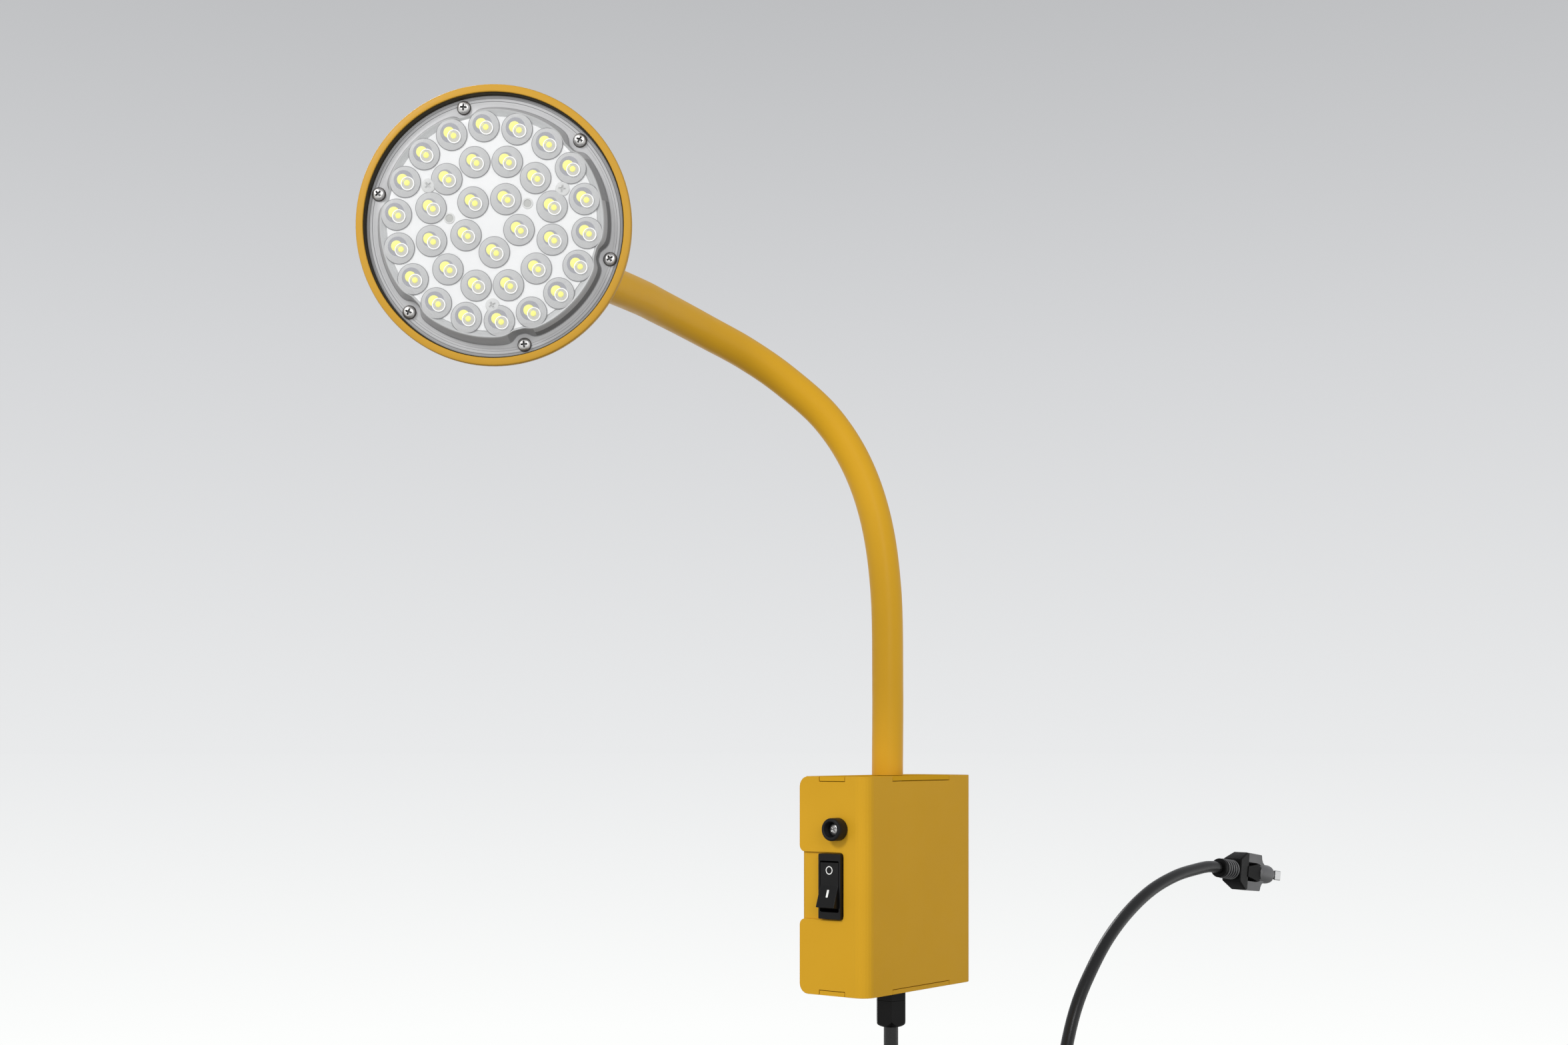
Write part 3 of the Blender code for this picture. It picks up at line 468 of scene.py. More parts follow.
def cord_route():
    """Out of the gland, round the hank, out at its waist and away to the plug."""
    mouth = -BOX_HEIGHT / 2 - GLAND_DROP
    waist = HANK_TOP - CORD_RADIUS - HANK_FOLD - HANK_RUN / 2
    half = HANK_RUN / 2
    steps = 14
    loop = []
    for k in range(steps):
        v = half - HANK_RUN * k / steps
        loop.append((hank_side(v), v))
    loop += arc((0, -half), HANK_FOLD, 0, -180, 12)[:-1]
    for k in range(steps):
        v = -half + HANK_RUN * k / steps
        loop.append((-hank_side(v), v))
    loop += arc((0, half), HANK_FOLD, 180, 0, 12)[:-1]
    flat = [(x, z) for x, z in loop] * HANK_WHOLE_TURNS + loop[: steps // 2 + 1]
    start = [Vector((0, GLAND_Y, mouth + (waist + half - mouth) * k / 6)) for k in range(6)]
    wound = [Vector((x - HANK_FOLD, 0, z + waist)) for x, z in flat]
    lengths = arc_lengths(wound)
    turn = arc_lengths(wound[: len(loop) + 1])[-1]
    for point, length in zip(wound, lengths):
        point.y = GLAND_Y - HANK_PITCH * length / turn
    leave = wound[-1]
    turning = []
    for degrees in (LEAVE_STEP, 2 * LEAVE_STEP):
        angle = math.radians(degrees)
        shift = LEAVE_RADIUS * (1 - math.cos(angle))
        forward = -0.0010 * degrees / LEAVE_STEP
        turning.append(leave + Vector((shift, forward, -LEAVE_RADIUS * math.sin(angle))))
    slack_steps = 8
    knots = [wound[-2], leave, *turning, *SLACK_KNOTS]
    slack = smooth_points(knots, slack_steps)[slack_steps:]
    return start + wound[:-1] + slack


def make_cord():
    points = resampled(cord_route(), 0.0060)
    curve = bpy.data.curves.new("cord", "CURVE")
    curve.dimensions = "3D"
    curve.bevel_depth = CORD_RADIUS
    curve.bevel_resolution = 6
    curve.use_fill_caps = True
    spline = curve.splines.new("POLY")
    spline.points.add(len(points) - 1)
    for target, point in zip(spline.points, points):
        target.co = (*point, 1.0)
    spline.use_smooth = True
    curve.materials.append(JACKET)
    cord = bpy.data.objects.new("cord", curve)
    bpy.context.scene.collection.objects.link(cord)
    return cord


def loft_into(bm, place, stations):
    """Rounded sections along the plug, each given as distance, width, height and corner."""
    rings = []
    for z, width, height, radius in stations:
        outline = rounded(width, height, radius)
        rings.append([bm.verts.new(place @ Vector((x, y, z))) for x, y in outline])
    for ring, following in zip(rings, rings[1:]):
        bridge(bm, ring, following)
    bm.faces.new(rings[0])
    bm.faces.new(rings[-1])


def make_plug():
    """Ribbed collar, flared rear with a grip, and the paler front between two rails."""
    place = axis_frame(PLUG_START + PLUG_DIRECTION * 0.0003, PLUG_DIRECTION)
    across = place @ Matrix(((0, 0, -1, 0), (0, 1, 0, 0), (1, 0, 0, 0), (0, 0, 0, 1)))
    groove, rib = 0.0058, 0.0064
    collar = [(0.0, 0.0), (0.0056, 0.0), (0.0062, 0.0006)]
    highlight_bands = [0, 0]
    # painted highlights: bands marked 1 take the paler nose finish, standing for light caught on
    # the ribs
    for at in (0.0040, 0.0066, 0.0092, 0.0118, 0.0144):
        collar += [(groove, at), (rib, at + 0.0002), (rib, at + 0.0006), (groove, at + 0.0008)]
        highlight_bands += [0, 1, 1, 1]
    collar += [(0.0059, 0.0185), (0.0, 0.0185)]
    bm = bmesh.new()
    turn_into(bm, collar, 64, place, highlight_bands + [0, 0], closed=False)
    flare = (
        (0.0155, 0.0132, 0.0146),
        (0.0159, 0.0140, 0.0154),
        (0.0242, 0.0112, 0.0245),
        (0.0248, 0.0110, 0.0246),
        (0.0268, 0.0106, 0.0244),
        (0.0278, 0.0092, 0.0228),
    )
    loft_into(bm, place, [(z, width, height, 0.0012) for z, width, height in flare])
    grip = [(0.0262, 0.0034), (0.0320, 0.0044), (0.0372, 0.0056)]
    grip += [(0.0415, 0.0036), (0.0449, 0.0004)]
    grip += [(x, -y) for x, y in reversed(grip)]
    prism_into(bm, grip, -0.0058, 0.0058, across)
    rear = mesh_object("plug_shell", bm, PLUG_BLACK, NOSE, bevel=0.0004)
    dress(rear, "control_box", ["plug_body"])
    bm = bmesh.new()
    rail = [(0.0262, 0.0062), (0.0262, 0.0122), (0.0417, 0.0119), (0.0423, 0.0112)]
    rail += [(0.0428, 0.0090), (0.0440, 0.0070), (0.0457, 0.0060), (0.0457, 0.0044)]
    rail += [(0.0428, 0.0046), (0.0404, 0.0056), (0.0370, 0.0062)]
    for sign in (-1, 1):
        prism_into(bm, [(x, sign * y) for x, y in rail], -0.0050, 0.0050, across)
    nose = (
        (0.0405, 0.0120, 0.0096, 0.0046),
        (0.0413, 0.0140, 0.0116, 0.0056),
        (0.0430, 0.0150, 0.0123, 0.0060),
        (0.0533, 0.0150, 0.0123, 0.0060),
        (0.0549, 0.0144, 0.0115, 0.0056),
        (0.0560, 0.0124, 0.0094, 0.0046),
    )
    loft_into(bm, place, nose)
    dress(mesh_object("plug_front", bm, NOSE, sharp=40), "control_box")


make_plug()
CORD = make_cord()
dress(CORD, "control_box", ("lead_upper", "lead_hank", "lead_slack"))


# --- studio -------------------------------------------------------------------------
FLOOR_Z = -0.300
# radii where the floor's painted shadow under the lamp fades out
SHADOW_POOL_INNER = 0.85
SHADOW_POOL_OUTER = 1.40


def make_studio():
    """Grey-to-white backdrop light, a pale floor with a painted shadow under the lamp, and three
    soft lamps.
    """
    scene = bpy.context.scene
    scene.view_settings.view_transform = "Standard"
    world = bpy.data.worlds.new("studio")
    world.use_nodes = True
    scene.world = world
    nodes, links = world.node_tree.nodes, world.node_tree.links
    place = nodes.new("ShaderNodeTexCoord")
    parts = nodes.new("ShaderNodeSeparateXYZ")
    ramp = nodes.new("ShaderNodeValToRGB")
    links.new(place.outputs["Generated"], parts.inputs["Vector"])
    links.new(parts.outputs["Z"], ramp.inputs["Fac"])
    links.new(ramp.outputs["Color"], nodes["Background"].inputs["Color"])
    stops = (
        (0.0, (233, 234, 235)),
        (0.19, (213, 214, 216)),
        (0.352, (190, 191, 193)),
        (1.0, (172, 173, 176)),
    )
    ramp.color_ramp.elements[0].color = (*linear(*stops[0][1]), 1)
    ramp.color_ramp.elements[1].color = (*linear(*stops[-1][1]), 1)
    for at, colour in stops[1:-1]:
        ramp.color_ramp.elements.new(at).color = (*linear(*colour), 1)

    bm = bmesh.new()
    bmesh.ops.create_circle(bm, cap_ends=True, segments=96, radius=90.0)
    floor = mesh_object("floor", bm)
    floor.location = (CAMERA_PLACE[0], CAMERA_PLACE[1], FLOOR_Z)
    ground = bpy.data.materials.new("floor")
    ground.use_nodes = True
    tree = ground.node_tree
    shader = tree.nodes["Principled BSDF"]
    spot = tree.nodes.new("ShaderNodeTexCoord")
    length = tree.nodes.new("ShaderNodeVectorMath")
    length.operation = "LENGTH"
    tree.links.new(spot.outputs["Object"], length.inputs[0])
    nearness = tree.nodes.new("ShaderNodeMath")
    nearness.operation = "DIVIDE"
    nearness.inputs[0].default_value = 1.0
    tree.links.new(length.outputs["Value"], nearness.inputs[1])
    fade = tree.nodes.new("ShaderNodeValToRGB")
    fade.color_ramp.elements[0].color = (*linear(233, 234, 235), 1)
    fade.color_ramp.elements[1].color = (*linear(253, 254, 253), 1)
    fade.color_ramp.elements.new(0.385).color = (*linear(253, 254, 253), 1)
    tree.links.new(nearness.outputs["Value"], fade.inputs["Fac"])
    # painted shadow: a soft darker patch on the floor right under the lamp
    apart = tree.nodes.new("ShaderNodeVectorMath")
    apart.operation = "DISTANCE"
    apart.inputs[1].default_value = (-CAMERA_PLACE[0], -CAMERA_PLACE[1], 0)
    tree.links.new(spot.outputs["Object"], apart.inputs[0])
    shadow_pool = tree.nodes.new("ShaderNodeMapRange")
    shadow_pool.interpolation_type = "SMOOTHSTEP"
    shadow_pool.inputs["From Min"].default_value = SHADOW_POOL_INNER
    shadow_pool.inputs["From Max"].default_value = SHADOW_POOL_OUTER
    tree.links.new(apart.outputs["Value"], shadow_pool.inputs["Value"])
    shade = tree.nodes.new("ShaderNodeMix")
    shade.data_type = "RGBA"
    shade.inputs["A"].default_value = (*linear(140, 140, 140), 1)
    tree.links.new(shadow_pool.outputs["Result"], shade.inputs["Factor"])
    tree.links.new(fade.outputs["Color"], shade.inputs["B"])
    tree.links.new(shade.outputs["Result"], shader.inputs["Emission Color"])
    shader.inputs["Emission Strength"].default_value = 1.0
    shader.inputs["Base Color"].default_value = (0, 0, 0, 1)
    shader.inputs["Roughness"].default_value = 1.0
    shader.inputs["Specular IOR Level"].default_value = 0.0
    floor.data.materials.append(ground)

    for name, origin, target, side, power in (
        ("key", (-2.1, -0.10, 1.20), (-0.1, 0, 0.1), 0.5, 21.0),
        ("fill", (-1.3, -1.7, 0.80), (-0.1, 0, 0.1), 0.9, 9.0),
        ("back", (0.9, 1.6, 1.30), (0, 0, 0.1), 0.8, 6.0),
    ):
        data = bpy.data.lights.new(name, "AREA")
        data.size = side
        data.energy = power
        lamp = bpy.data.objects.new(name, data)
        lamp.location = origin
        aim = Vector(target) - Vector(origin)
        lamp.rotation_euler = aim.to_track_quat("-Z", "Y").to_euler()
        scene.collection.objects.link(lamp)


make_studio()


# --- carried-over CAD nodes ---------------------------------------------------------
PLATE_EDGE = 0.00022
SWITCH_EDGE = 0.00025
TIE_EDGE = 0.0003
BLADE_EDGE = 0.0002


def finish_node(name, finish, edge=0.0):
    """Give a CAD node its material and, where an edge is given, a softened edge."""
    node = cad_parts[name]
    node.data.materials.clear()
    node.data.materials.append(finish)
    if edge:
        weld = node.modifiers.new("weld", "WELD")
        weld.merge_threshold = 0.000002
        soften(node, edge)


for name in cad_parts:
    finish_node(name, BLACK)
finish_node("top_plate", TOP_YELLOW, PLATE_EDGE)
for name in ("box_cover", "back_panel", "bottom_plate"):
    finish_node(name, YELLOW, PLATE_EDGE)
for name in ("board_screw_1", "board_screw_2", "board_screw_3", "head_fitting"):
    finish_node(name, STEEL)
finish_node("neck_base_fitting", TOP_YELLOW)
for name in ("neck_base_nut", "head_fitting_nut"):
    finish_node(name, BRASS)
for number in range(NECK_JOINTS + 1):
    finish_node(f"neck_core_{number}", CORE_STEEL)
finish_node("heat_spreader", ALUMINIUM)
finish_node("head_gasket", GASKET)
finish_node("gland_washer", GASKET)
finish_node("terminal_block", INK)
finish_node("switch_housing", BLACK, SWITCH_EDGE)
finish_node("switch_rocker", BLACK, SWITCH_EDGE)
finish_node("lead_tie", BLACK, TIE_EDGE)
finish_node("plug_blade_1", NICKEL, BLADE_EDGE)
finish_node("plug_blade_2", NICKEL, BLADE_EDGE)


# --- neck ---------------------------------------------------------------------------
SLEEVE_SIDES = 48
SLEEVE_STEPS = 26
SLEEVE_BASE_DROP = 0.0014


def facing():
    """The way the head's face looks."""
    level = math.cos(HEAD_DROOP)
    return Vector(
        (-math.cos(HEAD_HEADING) * level, -math.sin(HEAD_HEADING) * level, -math.sin(HEAD_DROOP))
    )


HEAD = axis_frame(HEAD_CENTRE, facing())


def neck_line():
    end = HEAD_CENTRE + facing() * (BOSS_END - 0.0006)
    approach = end - facing() * 0.0120
    return smooth_points([*NECK_KNOTS, tuple(approach), tuple(end)])


def make_neck():
    """One length of sleeve over each flexing joint, following the neck's bend."""
    points = neck_line()
    lengths = arc_lengths(points)
    pitch = lengths[-1] / (NECK_JOINTS + 0.6)
    joints = [pitch * (0.55 + k) for k in range(NECK_JOINTS)]
    cuts = [0.0003] + [(a + b) / 2 for a, b in zip(joints, joints[1:])] + [lengths[-1]]
    for number, joint in enumerate(joints):
        low, high = cuts[number], cuts[number + 1]
        bm = bmesh.new()
        rings = []
        for k in range(SLEEVE_STEPS + 1):
            at = low + (high - low) * k / SLEEVE_STEPS
            centre = point_at(points, lengths, at)
            if number == k == 0:
                centre = centre - Vector((0, 0, SLEEVE_BASE_DROP))
            after = point_at(points, lengths, at + 0.002)
            before = point_at(points, lengths, at - 0.002)
            ahead = (after - before).normalized()
            side = (Vector((0, 1, 0)) - ahead * ahead.y).normalized()
            other = ahead.cross(side)
            ring = []
            for j in range(SLEEVE_SIDES):
                angle = 2 * math.pi * j / SLEEVE_SIDES
                reach = side * math.cos(angle) + other * math.sin(angle)
                ring.append(bm.verts.new(centre + reach * NECK_RADIUS))
            rings.append(ring)
        for ring, following in zip(rings, rings[1:]):
            bridge(bm, ring, following)
        bm.faces.new(rings[0])
        bm.faces.new(rings[-1])
        sleeve = mesh_object(f"sleeve_{number + 1}", bm, SLEEVE, sharp=60)
        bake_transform(sleeve)
        stood = [f"neck_sleeve_{number}"]
        if number == NECK_JOINTS - 1:
            stood.append(f"neck_sleeve_{NECK_JOINTS}")
        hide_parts(*stood)


make_neck()


# --- screws -------------------------------------------------------------------------
def evaluated_mesh(piece):
    graph = bpy.context.evaluated_depsgraph_get()
    return bpy.data.meshes.new_from_object(piece.evaluated_get(graph))


def phillips_mesh(name, radius, height, shank, length, finish, dark):
    """Domed pan head with a tapering cross recess, and its shank."""
    dome = [(0, height)]
    for share in (0.25, 0.45, 0.62, 0.76, 0.88, 0.96):
        dome.append((radius * share, height * (1 - 0.42 * share**3.2)))
    dome += [(radius, height * 0.30), (radius * 0.99, height * 0.12), (radius * 0.95, 0)]
    dome += [(shank, 0), (shank, -length + shank), (0, -length)]
    bm = bmesh.new()
    turn_into(bm, dome, 40, closed=False)
    head = mesh_object(name, bm, finish, dark)
    bm = bmesh.new()
    for turn in (0, math.pi / 2):
        spin = Matrix.Rotation(turn, 4, "Z")
        lower = [(-0.34 * radius, -0.10 * radius), (0.34 * radius, -0.10 * radius)]
        lower += [(0.34 * radius, 0.10 * radius), (-0.34 * radius, 0.10 * radius)]
        upper = [(1.90 * x, 1.55 * y) for x, y in lower]
        rings = []
        for outline, z in ((lower, height * 0.30), (upper, height * 1.25)):
            rings.append([bm.verts.new(spin @ Vector((x, y, z))) for x, y in outline])
        # the recess walls take the second finish; where it is darker than the head it is painted
        # shade in the cross
        bridge(bm, rings[0], rings[1], 1)
        bm.faces.new(rings[0]).material_index = 1
        bm.faces.new(rings[1]).material_index = 1
    cutter = mesh_object(name + "_cutter", bm, finish, dark)
    modifier = head.modifiers.new("cross", "BOOLEAN")
    modifier.operation = "DIFFERENCE"
    modifier.solver = "EXACT"
    modifier.use_self = True
    modifier.object = cutter
    mesh = evaluated_mesh(head)
    bpy.data.objects.remove(head)
    bpy.data.objects.remove(cutter)
    return mesh


def place_mesh(name, mesh, place):
    piece = bpy.data.objects.new(name, mesh.copy())
    piece.data.transform(place)
    bpy.context.scene.collection.objects.link(piece)
    return piece


# --- control box details ------------------------------------------------------------
BUMPER_Y = -0.0241
BUMPER_Z = 0.0281
BUMPER_RADIUS = 0.0056
BUMPER_HEIGHT = 0.0070
BOX_SCREW_Y = -0.0120
SWITCH_Y = -0.0198
ROCKER_AXIS_X = -0.0472
ROCKER_TILT = math.radians(10)
ROCKER_HALF = 0.0111
ROCKER_END = 0.00485
GAP = 0.0003


def make_bumper():
    """Rubber stop with its screw, and the box's own two screws of the same pattern."""
    base = Vector((-BOX_WIDTH / 2 - GAP, BUMPER_Y, BUMPER_Z))
    top = BUMPER_HEIGHT - GAP
    profile = [(0.0018, 0.0), (BUMPER_RADIUS - 0.0002, 0.0), (BUMPER_RADIUS, 0.0002)]
    profile += arc((BUMPER_RADIUS - 0.0009, top - 0.0009), 0.0009, 0, 90, 6)
    profile += arc((0.0042, top - 0.0004), 0.0004, 90, 180, 4)
    profile += [(0.0038, 0.0020), (0.0036, 0.0018), (0.0018, 0.0018)]
    bumper = turned("bumper_ring", profile, RUBBER, place=axis_frame(base, (-1, 0, 0)), sharp=50)
    dress(bumper, "control_box", ["bumper"])
    seat = axis_frame(base + Vector((-0.0018 - GAP, 0, 0)), (-1, 0, 0))
    seat = seat @ Matrix.Rotation(0.5, 4, "Z")
    mesh = phillips_mesh("bumper_phillips", 0.0029, 0.0019, 0.0014, 0.0085, STEEL, STEEL)
    dress(place_mesh("bumper_pan_screw", mesh, seat), "control_box", ["bumper_screw"])
    for number, z in enumerate((-0.0300, 0.0300), 1):
        seat = axis_frame((BOX_WIDTH / 2 + GAP, BOX_SCREW_Y, z), (1, 0, 0))
        turn = Matrix.Rotation(0.3 * number, 4, "Z")
        screw = place_mesh(f"box_pan_screw_{number}", mesh, seat @ turn)
        dress(screw, "control_box", [f"box_screw_{number}"])


make_bumper()


def rocker_spot(out, up, across):
    """A point on the rocker from its own section: outward, up, and across its width."""
    x = -out * math.cos(ROCKER_TILT) + up * math.sin(ROCKER_TILT)
    z = out * math.sin(ROCKER_TILT) + up * math.cos(ROCKER_TILT)
    return Vector((ROCKER_AXIS_X + x, SWITCH_Y - across, z))


def make_switch_marks():
    """The usual ring and bar for off and on, laid into the rocker's two faces."""
    middle = ROCKER_END - ROCKER_HALF * math.tan(ROCKER_TILT)
    rise = ROCKER_END - middle
    step = 0.1
    for name, sign, share in (("mark_off", 1, 0.66), ("mark_on", -1, 0.37)):
        out = middle + rise * share
        centre = rocker_spot(out, sign * ROCKER_HALF * share, 0)
        ahead = rocker_spot(out + rise * step, sign * ROCKER_HALF * (share + step), 0)
        up = (ahead - centre).normalized() * sign
        across = Vector((0, -1, 0))
        normal = across.cross(up)
        if normal.x > 0:
            normal = -normal
        place = Matrix((across, up, normal)).transposed().to_4x4()
        place.translation = centre
        bm = bmesh.new()
        if sign > 0:
            outer = arc((0, 0), 0.00205, 0, 360, 40)[:-1]
            inner = arc((0, 0), 0.00160, 0, 360, 40)[:-1]
            prism_into(bm, outer, -0.0002, 0.00006, hole=inner)
        else:
            prism_into(bm, rounded(0.0012, 0.0039, 0.0003, 3), -0.0002, 0.00006)
        dress(mesh_object(name, bm, INK, place=place), "rocker")


make_switch_marks()


def intersected(name, profile, flats, low, high, place, finish):
    """A turned shape trimmed to a hexagon."""
    body = turned(name, profile, finish, sides=96)
    corner = flats / math.sqrt(3)
    outline = []
    for k in range(6):
        angle = math.pi * k / 3 + math.pi / 6 + GLAND_TURN
        outline.append((corner * math.cos(angle), corner * math.sin(angle)))
    cutter = prism(name + "_cutter", outline, low, high, finish)
    modifier = body.modifiers.new("hex", "BOOLEAN")
    modifier.operation = "INTERSECT"
    modifier.solver = "EXACT"
    modifier.object = cutter
    mesh = evaluated_mesh(body)
    bpy.data.objects.remove(body)
    bpy.data.objects.remove(cutter)
    mesh.transform(place)
    mesh.shade_smooth()
    mesh.set_sharp_from_angle(angle=math.radians(22))
    piece = bpy.data.objects.new(name, mesh)
    bpy.context.scene.collection.objects.link(piece)
    soften(piece, 0.00018)
    return piece


def make_gland():
    """Hexagonal gland body and its domed nut, under the box."""
    place = Matrix.Translation((0, GLAND_Y, -BOX_HEIGHT / 2))
    bore = CORD_RADIUS + GAP
    body = (
        (bore, 0.0090),
        (0.0060, 0.0090),
        (0.0060, -0.0002),
        (0.0086, -0.0002),
        (0.0086, -0.0063),
        (0.0049, -0.0063),
        (0.0049, -0.0120),
        (bore, -0.0120),
    )
    piece = intersected("gland_hex", body, GLAND_FLATS, -0.014, 0.012, place, BLACK)
    dress(piece, "control_box", ["gland_body"])
    dome = [(0.0052, -0.0064), (0.0086, -0.0064), (0.0086, -0.0136)]
    for step in range(1, 9):
        angle = math.radians(11.25 * step)
        dome.append((0.0046 + 0.0038 * math.cos(angle), -0.0152 - 0.0046 * math.sin(angle)))
    dome += [(bore + 0.0003, -0.0200), (bore, -0.0197), (bore, -0.0126), (0.0052, -0.0126)]
    piece = intersected("gland_dome", dome, GLAND_FLATS, -0.022, 0.0, place, BLACK)
    dress(piece, "control_box", ["gland_dome_nut"])


make_gland()


# --- head ---------------------------------------------------------------------------
HOUSING_PROFILE = (
    (0.0498, -0.0002),
    (0.0500, 0.0000),
    (0.0518, 0.0000),
    (0.0524, -0.0003),
    (0.0527, -0.0009),
    (0.0527, -0.0026),
    (0.0524, -0.0032),
    (0.0511, -0.0044),
    (0.0507, -0.0056),
    (0.0503, -0.0075),
    (0.0496, -0.0108),
    (0.0488, -0.0140),
    (0.0477, -0.0168),
    (0.0462, -0.0190),
    (0.0440, -0.0209),
    (0.0410, -0.0224),
    (0.0372, -0.0235),
    (0.0330, -0.0242),
    (0.0190, -0.0250),
    (0.0165, -0.0253),
    (0.0148, -0.0259),
    (0.0132, -0.0271),
    (0.0122, -0.0290),
    (0.0120, -0.0352),
    (0.0118, -0.0358),
    (0.0112, -0.0360),
    (0.0053, -0.0360),
    (0.0053, -0.0195),
    (0.0430, -0.0195),
    (0.0430, -0.0066),
    (0.0498, -0.0066),
)
LENS_TOP = 0.0025
OUTER_LENSES = 0.030
FACE_PLANE = 0.0021
LOOK_SLOPE = Vector((0.188, -0.203, 0))
COVER_SIDES = 288
# clock stretches, in degrees, where the cover's wall gets painted deep shade and painted half
# shade
DEEP_SHADE_STRETCH = (78, 158)
HALF_SHADE_STRETCH = (56, 172)
# painted light: some of these clear finishes emit their own colour, though nothing here is a lamp
COVER_GREY = clear_part("cover_flange", linear(178, 178, 179), 0.35, painted_glow=0.20)
COVER_LINE = clear_part("cover_line", linear(134, 134, 135), 0.35, painted_glow=0.16)
# painted shade and light: deep-shade, half-shade and pale lit copies of the cover's wall finish,
# picked by clock below
COVER_DEEP_SHADE = clear_part("cover_deep_shade", linear(122, 122, 123), 0.35)
COVER_HALF_SHADE = clear_part("cover_half_shade", linear(142, 142, 143), 0.35, painted_glow=0.08)
COVER_WALL = clear_part("cover_wall", linear(182, 182, 183), 0.35)
COVER_EDGE = clear_part("cover_edge", linear(186, 187, 187), 0.35)
COVER_SOFT = clear_part("cover_soft", linear(216, 217, 217), 0.45, grain=60)
COVER_PALE_LIT = clear_part("cover_pale_lit", linear(156, 156, 157), 0.35, painted_glow=0.15)
COVER_SHEET = clear_part("cover_sheet", linear(235, 237, 238), 0.06, alpha=0.06)
BOARD = clear_part("board_white", linear(234, 234, 234), 0.60, grain=40)
LENS_GREY = clear_part("lens_grey", linear(188, 188, 188), 0.45, grain=700)
LENS_EDGE = clear_part("lens_edge", linear(118, 118, 120), 0.40)
# painted shade: grey of the soft shadow round each lens's phosphor
LENS_SHADE = clear_part("lens_shade", linear(154, 154, 160), 0.40)
LENS_RING = clear_part("lens_ring", linear(250, 250, 250), 0.30, painted_glow=0.05)
LENS_PUPIL = clear_part("lens_pupil", linear(196, 194, 184), 0.20)
PHOSPHOR = clear_part("phosphor", linear(246, 243, 132), 0.45, grain=3000)
# painted shadow: dark ring round each cover screw head
SCREW_SHADOW_DARK = clear_part("screw_shadow_ring", linear(70, 66, 64), 0.40)
HOLE_RING = clear_part("hole_ring", linear(214, 214, 212), 0.30)
HOLE_EDGE = clear_part("hole_edge", linear(170, 170, 169), 0.30)
HOLE_MIDDLE = clear_part("hole_middle", linear(184, 184, 180), 0.30)
# painted shade: darker grey in the board screws' cross recess
GHOST_CROSS_SHADE = clear_part("board_screw_cross_shade", linear(186, 186, 185), 0.35)
PALE_SCREW = clear_part("board_screw_pale", linear(208, 208, 207), 0.35)
# dark olive band in the lip: a black gasket, tinted olive as painted shade of the yellow inner
# wall
LIP_GASKET_SHADE = moulded_plastic("lip_gasket_shade", linear(52, 44, 20), linear(38, 32, 14), 0.60, 900)


def make_housing():
    """Round cup with its lip and boss, and inside the lip a dark olive band: a black gasket,
    tinted olive as painted shade of the yellow wall.
    """
    shell = turned("head_shell", HOUSING_PROFILE, HEAD_YELLOW, place=HEAD, sides=144, sharp=30)
    dress(shell, "lamp_head", ["head_housing"])
    profile = ((0.04975, -0.0006), (0.04975, -0.0066), (0.0490, -0.0066), (0.0490, -0.0062))
    profile += ((0.04935, -0.0058), (0.04935, -0.0010))
    gasket_shade = turned("lip_gasket_shade", profile, LIP_GASKET_SHADE, place=HEAD, sides=144)
    dress(gasket_shade, "lamp_head")


def plateau_radius(angle, plain, dip, reach):
    """Edge of the cover's raised middle, drawn in smoothly round each cover screw."""
    for centre in spread(6, SCREW_PHASE):
        off = (angle - centre + math.pi) % (2 * math.pi) - math.pi
        if abs(off) < 0.36:
            return plain - dip / (1 + (plain * off / reach) ** 4)
    return plain


